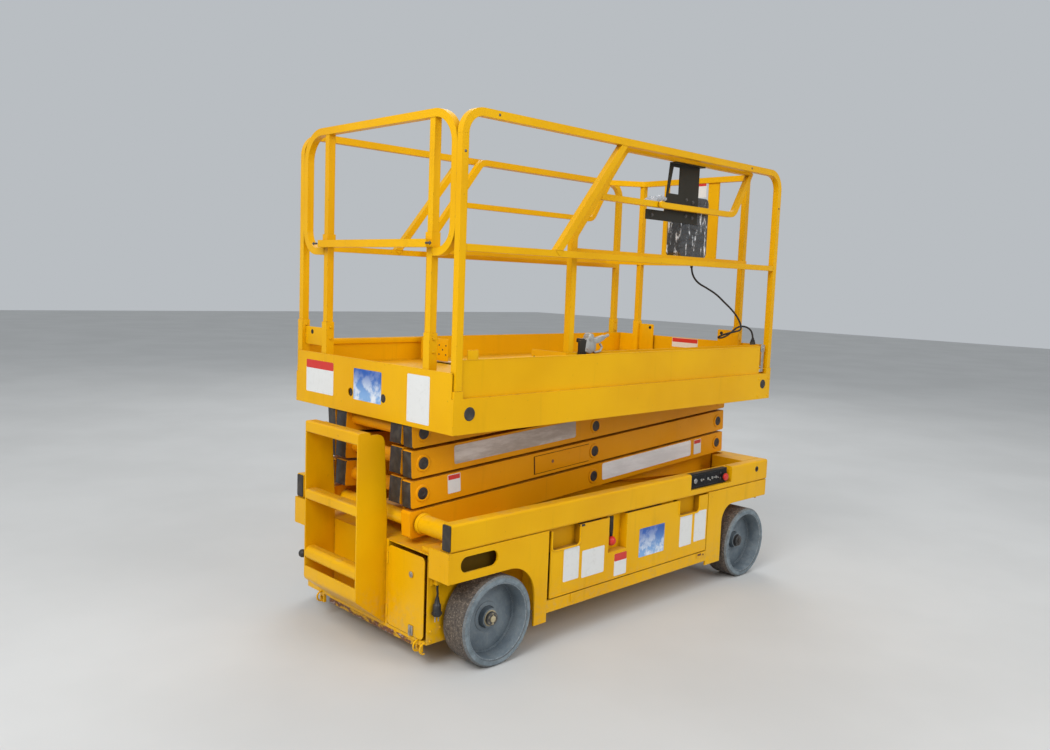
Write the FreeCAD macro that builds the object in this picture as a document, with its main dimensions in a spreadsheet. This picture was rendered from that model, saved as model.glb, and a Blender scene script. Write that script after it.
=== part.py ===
import FreeCAD, Part
import math
import os
import Sketcher
from types import SimpleNamespace
from FreeCAD import Placement, Rotation, Vector

# Electric scissor lift, parked with its platform lowered. Millimetres.
# +X points to the steered end, +Y to its left, +Z up; the ground is Z = 0.

# name, value, what it sizes
SIZES = [
    ("rear_face", -1094.0, "x of the chassis's and the platform's rear faces"),
    ("front_face", 1245.0, "x of the chassis's front face"),
    ("ladder_deep", 151.0, "how far the ladder stands behind the rear face"),
    ("ladder_wide", 410.0, "ladder width over its stiles"),
    ("ladder_mid", 35.0, "y of the ladder's middle"),
    ("ladder_low", 118.0, "z of the ladder's lower end, at the chassis"),
    ("ladder_toe", 240.0, "z of its lower end, at the rear"),
    ("ladder_lip", 298.0, "z of the foot well's rear edge"),
    ("ladder_top", 950.0, "z of the ladder's top"),
    ("ladder_taper", 22.0, "how much the stiles narrow at the top"),
    ("stile_thick", 8.0, "stile plate"),
    ("wheel_dia", 381.0, "tyre diameter"),
    ("wheel_wide", 127.0, "tyre width"),
    ("wheel_proud", 16.0, "wheels' outer faces beyond the side rails"),
    ("tyre_deep", 26.0, "rubber on the rim"),
    ("rim_wall", 7.0, "rim barrel thickness"),
    ("dish_deep", 78.0, "wheel disc behind the outer face"),
    ("disc_thick", 12.0, "wheel disc"),
    ("hub_dia", 92.0, "hub boss"),
    ("hub_out", 26.0, "hub boss beyond the disc"),
    ("axle_dia", 44.0, "stub axle"),
    ("axle_play", 0.6, "radial clearance of the hubs on their axles"),
    ("rear_axle", -831.0, "x of the rear wheels"),
    ("wheelbase", 1861.0, "rear to front axle"),
    ("kingpin_y", 420.0, "y of the steering pins"),
    ("kingpin_dia", 46.0, "steering pin"),
    ("rail_out", 584.0, "y of the side rails' outer faces"),
    ("rail_wide", 60.0, "side rail width"),
    ("rail_low", 520.0, "z of the side rails' undersides"),
    ("rail_top", 635.0, "z of the side rails' tops"),
    ("rail_inset", 12.0, "rail ends ahead of the rear face"),
    ("rail_round", 12.0, "corner radius of the side rails"),
    ("cap_thick", 4.0, "rail end cap"),
    ("cap_inset", 5.0, "rail end cap inside the rail's edges"),
    ("skirt_thick", 10.0, "side skirt plate"),
    ("skirt_low", 395.0, "z of the skirt above the wheels"),
    ("skirt_foot", 110.0, "z of the fender strips' lower ends"),
    ("tray_rear", -523.0, "x of the side trays' rear ends"),
    ("tray_front", 676.0, "x of the side trays' front ends"),
    ("tray_low", 212.0, "z of the tray panels' lower edges"),
    ("tray_gap", 44.0, "side trays' backs outside the middle of the chassis"),
    ("tray_wall", 6.0, "tray sheet"),
    ("tray_play", 6.0, "gap around the side trays"),
    ("sill_low", 150.0, "z of the sills' undersides"),
    ("spine_half", 285.0, "half width of the middle of the chassis"),
    ("spine_top", 488.0, "z of the middle's top plate"),
    ("spine_wall", 8.0, "plates of the middle"),
    ("housing_half", 456.0, "half width of the rear housing"),
    ("housing_front", -560.0, "x where the rear housing ends"),
    ("housing_low", 110.0, "z of the rear housing's underside"),
    ("door_thick", 4.0, "rear door plate"),
    ("door_gap", 15.0, "gap beside and above the rear door"),
    ("door_left", -190.0, "y of the rear door's hinge side"),
    ("panel_back", 735.0, "ground panel's rear end behind the front face"),
    ("panel_wide", 372.0, "recess of the ground panel"),
    ("panel_deep", 40.0, "depth of that recess"),
    ("mass_long", 310.0, "length of a battery or unit in a side tray"),
    ("mass_gap", 40.0, "gap between them"),
    ("mass_room", 60.0, "room outside them, behind the tray's face"),
    ("pin_x", -1023.0, "x of the scissor's fixed pins"),
    ("pin_z", 576.0, "z of the lowest scissor pins"),
    ("arm_len", 2149.0, "pin to pin length of a scissor arm"),
    ("pitch", 126.5, "height of one scissor stage when lowered"),
    ("arm_high", 114.0, "height of an arm's section"),
    ("arm_over", 60.0, "arm end beyond its pin"),
    ("arm_bevel", 8.0, "bevel of an arm's end corners"),
    ("tuck_over", 51.0, "the same ends inside the platform, where they turn in little room"),
    ("tuck_bevel", 32.0, "bevel of those ends' corners"),
    ("outer_y", 315.0, "y of the outer arms' outer faces"),
    ("outer_thick", 60.0, "outer arm width"),
    ("inner_thick", 80.0, "inner arm width"),
    ("arm_gap", 10.0, "gap between the outer and the inner arms"),
    ("pin_dia", 40.0, "scissor pin"),
    ("pin_play", 0.5, "radial clearance of the pins"),
    ("tie_dia", 50.0, "cross tubes of the inner arms"),
    ("tie_rear", 250.0, "rear cross tube ahead of the upper pins"),
    ("tie_front", 215.0, "front cross tube behind the lower pins"),
    ("roller_dia", 88.0, "rollers of the sliding ends"),
    ("roller_wide", 30.0, "roller width"),
    ("ram_rear", 211.0, "lift cylinder's base pin ahead of the fixed pins"),
    ("ram_drop", 22.0, "lift cylinder's base pin below the fixed pins"),
    ("ram_dia", 90.0, "lift cylinder barrel"),
    ("rod_dia", 50.0, "lift cylinder rod"),
    ("eye_back", 129.0, "rod eye behind the second stage's lower front pin"),
    ("eye_drop", 50.0, "rod eye below that arm's middle line"),
    ("eye_dia", 74.0, "cylinder eyes"),
    ("plat_len", 2310.0, "platform length"),
    ("plat_wide", 1166.0, "platform width"),
    ("fascia_low", 989.0, "z of the platform's underside"),
    ("fascia_top", 1130.0, "z of the step in the platform's side"),
    ("fascia_thick", 4.0, "platform side plates"),
    ("step_in", 13.0, "toe boards inside the fascia"),
    ("deck_top", 1160.0, "z of the deck"),
    ("deck_thick", 5.0, "deck plate"),
    ("toe_side", 1279.0, "z of the side toe boards' tops"),
    ("toe_rear", 1229.0, "z of the rear toe board's top"),
    ("post_side", 18.0, "side guardrails' middle inside the platform's side"),
    ("post_rear", 26.0, "rear posts' middle ahead of the platform's rear end"),
    ("post_front", 22.0, "front posts' middle behind the platform's front end"),
    ("toe_short", 80.0, "side toe boards' front ends behind the front posts' middle"),
    ("tube_wide", 32.0, "square guardrail tube"),
    ("mid_wide", 28.0, "square tube of the middle rails"),
    ("brace_low", 548.0, "foot of the side rails' brace ahead of the rear face"),
    ("brace_run", 418.0, "length of that brace along the platform"),
    ("rail_z", 2226.0, "z of the guardrails' top tubes"),
    ("mid_z", 1713.0, "z of the guardrails' middle tubes"),
    ("bend", 90.0, "bend radius of the side guardrails"),
    ("rear_bend", 125.0, "bend radius of the rear guardrail's upper corners"),
    ("stub_bend", 95.0, "bend radius of its lower corners"),
    ("stub_z", 1694.0, "z of the rear guardrail's lower stubs"),
    ("sleeve_wide", 40.0, "square sleeves of the gate posts"),
    ("sleeve_high", 215.0, "sleeve tops above the deck"),
    ("ext_back", -372.0, "x of the extension's rear posts"),
    ("ext_y", 500.0, "y of the extension's side guardrails"),
    ("ext_nose_y", 366.0, "y of the extension's front posts"),
    ("ext_z", 2218.0, "z of the extension's top tubes"),
    ("ext_low_z", 1983.0, "z of the extension's second tubes"),
    ("ext_mid_z", 1733.0, "z of the extension's middle tubes"),
    ("ext_deck_thick", 5.0, "extension deck plate"),
    ("ext_lift", 6.0, "extension deck above the main deck"),
    ("ext_knee_z", 1799.0, "z where the extension's rear posts start to slope"),
    ("ext_slant", 328.0, "run of the extension's sloping rear tubes"),
    ("ext_turn", 184.0, "turn of the extension's top tube behind its front posts"),
    ("ext_bend", 60.0, "bend radius of the extension's tubes"),
    ("ext_wide", 26.0, "square tube of the extension's middle rail"),
    ("ext_rise", 145.0, "foot of the low tubes' rise behind the top tube's turn"),
    ("nose_post_y", 185.0, "y of the short post in the extension's front"),
    ("nose_board_y", -190.0, "y of the board in the extension's front"),
    ("nose_board_wide", 75.0, "width of that board"),
    ("gate_set_left", 177.7, "left gate post inside the entry frame's end"),
    ("gate_set_right", 134.7, "the same of the right gate post"),
    ("seat", 0.3, "gap of a piece from what it rests on"),
    ("bar_play", 1.0, "clearance of the entry bar's sleeves round the gate posts"),
    ("bar_sleeve", 60.0, "height of the entry bar's sleeves"),
    ("case_long", 230.0, "length of the control box"),
    ("case_deep", 85.0, "depth of the control box"),
    ("case_low", 1745.0, "z of the control box's underside"),
    ("case_high", 305.0, "height of the control box"),
    ("case_ahead", 837.0, "control box ahead of the extension's rear posts"),
    ("cord_dia", 10.0, "control cable"),
]


class Size:
    """A number with the expression that gives it from the sheet's cells."""

    def __init__(self, text, value):
        self.text = text
        self.value = value

    def combine(self, other, sign, value, turned=False):
        text = other.text if isinstance(other, Size) else repr(float(other))
        pair = (text, self.text) if turned else (self.text, text)
        return Size("(%s %s %s)" % (pair[0], sign, pair[1]), value)

    def __add__(self, other):
        return self.combine(other, "+", self.value + number(other))

    def __radd__(self, other):
        return self.combine(other, "+", self.value + number(other), True)

    def __sub__(self, other):
        return self.combine(other, "-", self.value - number(other))

    def __rsub__(self, other):
        return self.combine(other, "-", number(other) - self.value, True)

    def __mul__(self, other):
        return self.combine(other, "*", self.value * number(other))

    def __rmul__(self, other):
        return self.combine(other, "*", self.value * number(other), True)

    def __truediv__(self, other):
        return self.combine(other, "/", self.value / number(other))

    def __neg__(self):
        return Size("(-1 * %s)" % self.text, -self.value)


def number(size):
    return size.value if isinstance(size, Size) else float(size)


doc = FreeCAD.newDocument("scissor_lift")
sheet = doc.addObject("Spreadsheet::Sheet", "sizes")
s = SimpleNamespace()
for row, (alias, value, meaning) in enumerate(SIZES, start=1):
    sheet.set("A%d" % row, meaning)
    sheet.set("B%d" % row, repr(value))
    sheet.setAlias("B%d" % row, alias)
    setattr(s, alias, Size("sizes." + alias, value))
doc.recompute()

RIGHT, LEFT = -1, 1
SIDES = (("right", RIGHT), ("left", LEFT))
nodes = []


def bind(obj, prop, size):
    """Set a property, by expression where the size comes from the sheet."""
    if isinstance(size, Size):
        obj.setExpression(prop, size.text)
    elif "." in prop:
        obj.setExpression(prop, repr(float(size)))
    else:
        setattr(obj, prop, size)


def place(obj, at=(0, 0, 0), axis=None, angle=0):
    if axis is not None:
        obj.Placement = Placement(Vector(0, 0, 0), Rotation(Vector(*axis), 1))
        bind(obj, "Placement.Rotation.Angle", angle)
    for letter, size in zip("xyz", at):
        if isinstance(size, Size) or size:
            bind(obj, "Placement.Base." + letter, size)
    return obj


def box(name, low, size):
    obj = doc.addObject("Part::Box", name)
    for prop, value in zip(("Length", "Width", "Height"), size):
        bind(obj, prop, value)
    return place(obj, low)


# axis letter: rotation axis and angle that turn +Z onto it
TURNS = {"x": ((0, 1, 0), 90), "y": ((1, 0, 0), -90), "z": (None, 0)}


def rod(name, base, dia, length, along="y"):
    """A cylinder from base, along +X, +Y or +Z."""
    obj = doc.addObject("Part::Cylinder", name)
    bind(obj, "Radius", dia / 2)
    bind(obj, "Height", length)
    axis, angle = TURNS[along]
    return place(obj, base, axis, angle)


def fuse(name, parts):
    obj = doc.addObject("Part::MultiFuse", name)
    obj.Shapes = parts
    return obj


def cut(name, base, tools):
    tool = tools[0] if len(tools) == 1 else fuse(name + "_tools", tools)
    obj = doc.addObject("Part::Cut", name)
    obj.Base = base
    obj.Tool = tool
    return obj


def node(label, obj):
    obj.Label = label
    nodes.append(obj)
    return obj


def plane_of(body, role):
    return [o for o in body.Origin.OriginFeatures if o.Role == role][0]


# plane: its origin feature, and the world directions of sketch x, y and normal
PLANES = {
    "xz": ("XZ_Plane", Vector(1, 0, 0), Vector(0, 0, 1), Vector(0, -1, 0)),
    "xy": ("XY_Plane", Vector(1, 0, 0), Vector(0, 1, 0), Vector(0, 0, 1)),
    "yz": ("YZ_Plane", Vector(0, 1, 0), Vector(0, 0, 1), Vector(1, 0, 0)),
}


def sketch_on(body, name, plane, offset=0):
    """A sketch on one of the body's own planes, moved along its normal."""
    sketch = body.newObject("Sketcher::SketchObject", name)
    sketch.AttachmentSupport = [(plane_of(body, PLANES[plane][0]), "")]
    sketch.MapMode = "FlatFace"
    if isinstance(offset, Size) or offset:
        bind(sketch, "AttachmentOffset.Base.z", offset)
    return sketch


def fix_point(sketch, geo, pos, x, y):
    for kind, size in (("DistanceX", x), ("DistanceY", y)):
        index = sketch.addConstraint(Sketcher.Constraint(kind, -1, 1, geo, pos, number(size)))
        if isinstance(size, Size):
            sketch.setExpression("Constraints[%d]" % index, size.text)


def trace(sketch, corners, closed=True):
    """Lines through the corners (x, y) or (x, y, radius), rounded by tangent arcs."""
    count = len(corners)
    spots = [Vector(number(c[0]), number(c[1]), 0) for c in corners]
    radii = [c[2] if len(c) > 2 else 0 for c in corners]
    cuts = []
    for i in range(count):
        before, here, after = spots[i - 1], spots[i], spots[(i + 1) % count]
        end = not closed and i in (0, count - 1)
        if end or number(radii[i]) <= 0:
            cuts.append((here, here, None))
            continue
        back = (before - here).normalize()
        ahead = (after - here).normalize()
        half = back.getAngle(ahead) / 2
        run = number(radii[i]) / math.tan(half)
        middle = here + (back + ahead).normalize() * (number(radii[i]) / math.sin(half))
        cuts.append((here + back * run, here + ahead * run, middle))
    spans = count if closed else count - 1
    lines = []
    for i in range(spans):
        start, stop = cuts[i][1], cuts[(i + 1) % count][0]
        lines.append(sketch.addGeometry(Part.LineSegment(start, stop), False))
    for i in range(count):
        first = lines[i - 1] if (closed or i > 0) else None
        second = lines[i] if (closed or i < count - 1) else None
        x, y = corners[i][0], corners[i][1]
        if cuts[i][2] is None:
            if first is not None and second is not None:
                sketch.addConstraint(Sketcher.Constraint("Coincident", first, 2, second, 1))
            if second is not None:
                fix_point(sketch, second, 1, x, y)
            else:
                fix_point(sketch, first, 2, x, y)
            continue
        p, q, middle = cuts[i]
        leftward = (spots[i] - spots[i - 1]).cross(spots[(i + 1) % count] - spots[i]).z > 0
        low, high = (p, q) if leftward else (q, p)
        near, far = (1, 2) if leftward else (2, 1)
        angles = [math.atan2(point.y - middle.y, point.x - middle.x) for point in (low, high)]
        if angles[1] < angles[0]:
            angles[1] += 2 * math.pi
        circle = Part.Circle(middle, Vector(0, 0, 1), number(radii[i]))
        geo = sketch.addGeometry(Part.ArcOfCircle(circle, *angles), False)
        sketch.addConstraint(Sketcher.Constraint("Tangent", first, 2, geo, near))
        sketch.addConstraint(Sketcher.Constraint("Tangent", geo, far, second, 1))
        index = sketch.addConstraint(Sketcher.Constraint("Radius", geo, number(radii[i])))
        if isinstance(radii[i], Size):
            sketch.setExpression("Constraints[%d]" % index, radii[i].text)
        point = sketch.addGeometry(Part.Point(spots[i]), True)
        sketch.addConstraint(Sketcher.Constraint("PointOnObject", point, 1, first))
        sketch.addConstraint(Sketcher.Constraint("PointOnObject", point, 1, second))
        fix_point(sketch, point, 1, x, y)


def ring(sketch, x, y, dia):
    geo = sketch.addGeometry(Part.Circle(Vector(number(x), number(y), 0), Vector(0, 0, 1),
                                         number(dia) / 2), False)
    index = sketch.addConstraint(Sketcher.Constraint("Diameter", geo, number(dia)))
    if isinstance(dia, Size):
        sketch.setExpression("Constraints[%d]" % index, dia.text)
    fix_point(sketch, geo, 3, x, y)


def plate(name, plane, outline, thick, start, holes=(), windows=()):
    """A flat plate: outline padded by thick from start, up its plane's world axis."""
    body = doc.addObject("PartDesign::Body", name)
    normal = PLANES[plane][3]
    down = min(normal) < 0
    offset = -(start + thick) if down else start
    sketch = sketch_on(body, name + "_outline", plane, offset)
    trace(sketch, outline)
    for window in windows:
        trace(sketch, window)
    for x, y, dia in holes:
        ring(sketch, x, y, dia)
    pad = body.newObject("PartDesign::Pad", name + "_pad")
    pad.Profile = sketch
    bind(pad, "Length", thick)
    return body


def turned(name, outline, x, z, angle=0):
    """A solid of revolution about a line along Y; outline is (y, radius) pairs."""
    body = doc.addObject("PartDesign::Body", name)
    sketch = sketch_on(body, name + "_section", "yz")
    trace(sketch, outline)
    spin = body.newObject("PartDesign::Revolution", name + "_turn")
    spin.Profile = sketch
    spin.ReferenceAxis = (sketch, ["H_Axis"])
    spin.Angle = 360
    return place(body, (x, 0, z))


def tube(name, plane, offset, path, wide):
    """A square tube along an open flat path of lines and tangent arcs."""
    body = doc.addObject("PartDesign::Body", name)
    along = sketch_on(body, name + "_path", plane, offset)
    trace(along, path, False)
    doc.recompute()
    first, second = path[0], path[1]
    dx = number(second[0]) - number(first[0])
    dy = number(second[1]) - number(first[1])
    profile = body.newObject("Sketcher::SketchObject", name + "_section")
    flat = math.degrees(math.atan2(dy, dx))
    profile.AttachmentSupport = [(plane_of(body, PLANES[plane][0]), "")]
    profile.MapMode = "FlatFace"
    heading = Rotation(Vector(0, 0, 1), flat) * Rotation(Vector(0, 1, 0), 90)
    profile.AttachmentOffset = Placement(Vector(0, 0, 0), heading)
    for letter, size in zip("xyz", (first[0], first[1], offset)):
        bind(profile, "AttachmentOffset.Base." + letter, size)
    trace(profile, rectangle(-wide / 2, -wide / 2, wide / 2, wide / 2))
    pipe = body.newObject("PartDesign::AdditivePipe", name + "_pipe")
    pipe.Profile = profile
    arcs = sum(1 for corner in path[1:-1] if len(corner) > 2)
    pipe.Spine = (along, ["Edge%d" % (i + 1) for i in range(len(path) - 1 + arcs)])
    return body


def post(name, x, y, z_span, wide):
    """An upright square tube about a line."""
    low, high = z_span
    return box(name, (x - wide / 2, y - wide / 2, low), (wide, wide, high - low))


def rail(name, x_span, y, z, wide):
    """A level square tube along X."""
    start, stop = x_span
    return box(name, (start, y - wide / 2, z - wide / 2), (stop - start, wide, wide))


# The scissor at rest: each arm rises by one pitch over its length.
tilt = Size("asin(sizes.pitch / sizes.arm_len)", math.degrees(math.asin(s.pitch.value / s.arm_len.value)))
sin_tilt = s.pitch / s.arm_len
cos_tilt = Size("cos(%s)" % tilt.text, math.cos(math.radians(tilt.value)))
reach = s.arm_len * cos_tilt
LEVELS = (1, 2, 3, 4)
outer_in = s.outer_y - s.outer_thick
inner_out = outer_in - s.arm_gap
inner_in = inner_out - s.inner_thick
hole_dia = s.pin_dia + 2 * s.pin_play
wheel_z = s.wheel_dia / 2
front_axle = s.rear_axle + s.wheelbase
wheel_out = s.rail_out + s.wheel_proud
wheel_in = wheel_out - s.wheel_wide
rail_in = s.rail_out - s.rail_wide
tray_in = s.spine_half + s.tray_gap
disc_y = wheel_out - s.dish_deep
rail_y = s.plat_wide / 2 - s.post_side
rail_back = s.rear_face + s.post_rear
rail_fore = s.rear_face + s.plat_len - s.post_front
frame_y = rail_y - s.tube_wide - s.seat
gate_left = frame_y - s.gate_set_left
gate_right = -(frame_y - s.gate_set_right)


def band(side, low, high):
    """The start y of a band between two distances from the middle plane."""
    return low if side == LEFT else -high


def slab(name, side, x_span, y_span, z_span):
    """A box on one side, from two distances from the middle plane."""
    low, high = y_span
    return box(name, (x_span[0], band(side, low, high), z_span[0]),
               (x_span[1] - x_span[0], high - low, z_span[1] - z_span[0]))


def pin(name, side, x, z, y_span, dia):
    low, high = y_span
    return rod(name, (x, band(side, low, high), z), dia, high - low)


def rectangle(x0, z0, x1, z1, radius=0):
    return [(x0, z0, radius), (x1, z0, radius), (x1, z1, radius), (x0, z1, radius)]


def make_wheels():
    radius = s.wheel_dia / 2
    seat = radius - s.tyre_deep
    for name, side, x in (("rear_right", RIGHT, s.rear_axle), ("rear_left", LEFT, s.rear_axle),
                          ("front_right", RIGHT, front_axle), ("front_left", LEFT, front_axle)):
        out, inn = side * wheel_out, side * wheel_in
        soft = 8.0
        node("tyre_" + name, turned("tyre_%s_body" % name, [
            (inn, radius), (out - soft * side, radius), (out, radius - soft), (out, seat),
            (inn, seat)], x, wheel_z))
        bore = s.axle_dia / 2 + s.axle_play
        disc, back = side * disc_y, side * (disc_y - s.disc_thick)
        node("rim_" + name, turned("rim_%s_body" % name, [
            (out - 2 * side, seat), (out - 2 * side, seat - s.rim_wall), (disc, seat - 2 * s.rim_wall),
            (disc, s.hub_dia / 2), (side * (disc_y + s.hub_out), s.hub_dia / 2 - 6),
            (side * (disc_y + s.hub_out), bore), (back, bore), (back, seat - s.rim_wall),
            (inn + 2 * side, seat - s.rim_wall), (inn + 2 * side, seat)], x, wheel_z))


def axle_parts(name, side, x, root):
    """Stub axle with its shoulder flange and castle nut."""
    end = disc_y + s.hub_out
    return [
        pin(name + "_flange", side, x, wheel_z, (root, disc_y - s.disc_thick - 3), s.hub_dia),
        pin(name + "_shaft", side, x, wheel_z, (root, end + 16), s.axle_dia),
        pin(name + "_nut", side, x, wheel_z, (end + 1.5, end + 14), s.axle_dia + 14),
    ]


def make_rear_axle():
    parts = []
    for word, side in SIDES:
        parts.append(fuse("rear_axle_" + word, axle_parts("rear_axle_" + word, side, s.rear_axle,
                                                          s.housing_half)))
    node("rear_axles", fuse("rear_axles_both", parts))


def make_front_axle():
    x, z = front_axle, wheel_z
    beam_half = 300.0
    parts = [box("beam", (x - 45, -beam_half, z - 40), (90, 2 * beam_half, 80))]
    for word, side in SIDES:
        for level, low in (("upper", z + 52), ("lower", z - 72)):
            parts.append(slab("yoke_%s_%s" % (level, word), side, (x - 38, x + 38),
                              (beam_half - 20, s.kingpin_y + 32), (low, low + 20)))
        parts.append(slab("yoke_web_" + word, side, (x - 38, x + 38),
                          (beam_half - 20, beam_half + 20), (z - 72, z + 72)))
        parts.append(rod("kingpin_" + word, (x, side * s.kingpin_y, z - 72), s.kingpin_dia,
                         144.0, "z"))
    post = box("beam_post", (x - 60, -140, z + 40), (120, 280, s.spine_top - s.spine_wall - s.seat - z - 40))
    node("front_axle", fuse("front_axle_all", parts + [post]))


def make_knuckles():
    x, z = front_axle, wheel_z
    for word, side in SIDES:
        block = slab("knuckle_block_" + word, side, (x - 36, x + 36),
                     (s.kingpin_y - 34, s.kingpin_y + 34), (z - 50, z + 50))
        parts = [block] + axle_parts("front_axle_" + word, side, x, s.kingpin_y + 20)
        parts.append(slab("steer_arm_" + word, side, (x - steer_back, x - 20),
                          (s.kingpin_y - 12, s.kingpin_y + 12), (z - 12, z + 12)))
        hole = rod("knuckle_bore_" + word, (x, side * s.kingpin_y, z - 60),
                   s.kingpin_dia + 1.2, 120.0, "z")
        parts.append(rod("steer_boss_" + word, (x - steer_back, side * s.kingpin_y, z - 12), 40.0,
                         24.0, "z"))
        eye = rod("steer_eye_" + word, (x - steer_back, side * s.kingpin_y, z - 20),
                  steer_hole, 40.0, "z")
        node("knuckle_" + word, cut("knuckle_cut_" + word, fuse("knuckle_all_" + word, parts),
                                    [hole, eye]))


steer_back = 130.0
steer_hole = 19.0


def make_tie_rod():
    x, z, y = front_axle - steer_back, wheel_z, s.kingpin_y
    parts = [box("tie_bar", (x - 12, -y, z + 16), (24, 2 * y, 22))]
    for word, side in SIDES:
        parts.append(rod("tie_boss_" + word, (x, side * y, z + 14), 40.0, 26.0, "z"))
        parts.append(rod("tie_pin_" + word, (x, side * y, z - 14), 18.0, 40.0, "z"))
    node("tie_rod", fuse("tie_rod_all", parts))


def make_chassis_frame():
    parts, cuts = [], []
    rail_rear = s.rear_face + s.rail_inset
    for word, side in SIDES:
        edge = side * s.rail_out
        parts.append(plate("rail_" + word, "yz", rectangle(side * rail_in, s.rail_low, edge,
                                                           s.rail_top, s.rail_round),
                           s.front_face - rail_rear, rail_rear))
        parts.append(pin("pivot_tube_" + word, side, s.pin_x, s.pin_z,
                         (s.outer_y + 5, rail_in + 10), 78.0))
        parts.append(pin("pivot_pin_" + word, side, s.pin_x, s.pin_z,
                         (outer_in - 4, s.outer_y + 20), s.pin_dia))
        track_top = s.pin_z - s.roller_dia / 2 - 0.5
        parts.append(slab("track_" + word, side, (s.pin_x + 780, s.front_face - 60),
                          (inner_in - 45, inner_in - 5), (s.spine_top + s.seat, track_top)))
        parts.append(slab("pivot_post_" + word, side, (s.pin_x - 40, s.pin_x + 40),
                          (rail_in - 30, rail_in + 5), (s.spine_top + s.seat, s.rail_low + 20)))
        parts.append(slab("pivot_foot_" + word, side, (s.rear_face + 14, s.pin_x + 60),
                          (s.housing_half - 60, rail_in + 5),
                          (s.spine_top + s.seat, s.spine_top + 20)))
        if side == RIGHT:
            ground_x = s.front_face - s.panel_back
            cuts.append(slab("panel_recess", side, (ground_x, ground_x + s.panel_wide),
                             (s.rail_out - s.panel_deep, s.rail_out + 5),
                             (s.rail_low + 32, s.rail_top + 5)))
        cuts.append(pin("rail_hole_" + word, side, s.front_face - 110, s.rail_low + 71,
                        (rail_in, s.rail_out + 5), 24.0))
        parts.append(slab("front_gusset_" + word, side, (s.front_face - 170, s.front_face - 4),
                          (s.outer_y + 12, rail_in + 5), (s.rail_low + 50, s.rail_top)))
    cross_half = outer_in - 2
    parts.append(rod("pivot_cross", (s.pin_x, -cross_half, s.pin_z), 64.0, 2 * cross_half))
    parts.append(box("front_cross", (s.front_face - 58, -rail_in - 5, s.rail_low + 70),
                     (54, 2 * rail_in + 10, s.rail_top - s.rail_low - 70)))
    parts.append(box("front_plate", (s.front_face - 14, -rail_in - 5, s.skirt_low + 5),
                     (10, 2 * rail_in + 10, s.rail_top - s.skirt_low - 5)))
    node("chassis_frame", cut("chassis_frame_cut", fuse("chassis_frame_all", parts), cuts))


def make_sills():
    """Under each side tray a sill with runners, hung from the rails by two outriggers."""
    both = []
    under_tray = s.tray_low - s.tray_play
    for word, side in SIDES:
        parts = [slab("sill_" + word, side, (s.tray_rear - 9, s.tray_front),
                      (s.spine_half + s.seat, s.rail_out), (s.sill_low, under_tray))]
        for i in range(3):
            x = s.tray_rear + 150 + i * 425
            parts.append(slab("runner_%s_%d" % (word, i), side, (x, x + 40),
                              (tray_in, s.rail_out - s.tray_wall - 4),
                              (under_tray - 5, s.tray_low + 2 - s.seat)))
        for end, x in (("rear", s.housing_front + s.seat), ("front", s.tray_front - 4)):
            parts.append(slab("outrigger_%s_%s" % (end, word), side, (x, x + 30),
                              (s.spine_half + s.seat, s.rail_out - s.skirt_thick - s.seat),
                              (s.sill_low, s.rail_low - s.seat)))
        both.append(fuse("sills_" + word, parts))
    node("chassis_sills", fuse("sills_both", both))


def make_spine():
    """The middle of the chassis, a wide square tube open at its ends."""
    x0, x1 = s.housing_front + s.seat, s.front_face - 60
    shell = box("spine_shell", (x0, -s.spine_half, s.sill_low),
                (x1 - x0, 2 * s.spine_half, s.spine_top - s.sill_low))
    wall = s.spine_wall
    hollow = box("spine_hollow", (x0 - 5, -s.spine_half + wall, s.sill_low + wall),
                 (x1 - x0 + 10, 2 * (s.spine_half - wall), s.spine_top - s.sill_low - 2 * wall))
    arch = box("spine_axle_room", (front_axle - 250, -s.spine_half - 5, s.sill_low - 5),
               (x1 - front_axle + 260, 2 * s.spine_half + 10, 150))
    node("chassis_spine", cut("spine_cut", shell, [hollow, arch]))


def make_ram_mount():
    x, z = s.pin_x + s.ram_rear, s.pin_z - s.ram_drop
    parts = [pin("ram_pin", RIGHT, x, z, (-50.0, 50.0), 30.0)]
    for word, side in SIDES:
        parts.append(plate("ram_lug_" + word, "xz", [
            (x - 50, s.spine_top), (x + 50, s.spine_top), (x + 32, z + 34, 20), (x - 32, z + 34, 20)],
            12.0, band(side, 34.0, 46.0)))
    node("ram_mount", fuse("ram_mount_all", parts))


def make_skirts():
    top = s.rail_low
    strip_x = s.tray_rear - 9
    for word, side in SIDES:
        y_low = s.rail_out - s.skirt_thick
        start = band(side, y_low, s.rail_out)
        rear = plate("skirt_rear_" + word, "xz", [
            (s.rear_face, s.skirt_low, 20), (strip_x - 77, s.skirt_low, 150),
            (strip_x - 77, s.skirt_foot), (strip_x, s.skirt_foot), (strip_x, top),
            (s.rear_face, top)], s.skirt_thick, start,
            windows=[rectangle(s.rear_face + 62, s.skirt_low + 34, s.rear_face + 262,
                               s.skirt_low + 100, 32)])
        front_x = s.tray_front + 133
        front = plate("skirt_front_" + word, "xz", [
            (s.tray_front, s.skirt_foot + 15), (front_x, s.skirt_foot + 15),
            (front_x, s.skirt_low + 35, 95), (s.front_face - 4, s.skirt_low + 35),
            (s.front_face - 4, top), (s.tray_front, top)], s.skirt_thick, start)
        wing = slab("skirt_wing_" + word, side, (s.rear_face, s.rear_face + s.skirt_thick),
                    (s.housing_half + 2, s.rail_out), (s.skirt_low, top))
        nose = slab("skirt_nose_" + word, side, (s.front_face - 14, s.front_face - 4),
                    (rail_in + 5 + s.seat, s.rail_out), (s.skirt_low + 35, top))
        node("skirt_" + word, fuse("skirt_all_" + word, [rear, wing, front, nose]))


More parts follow.
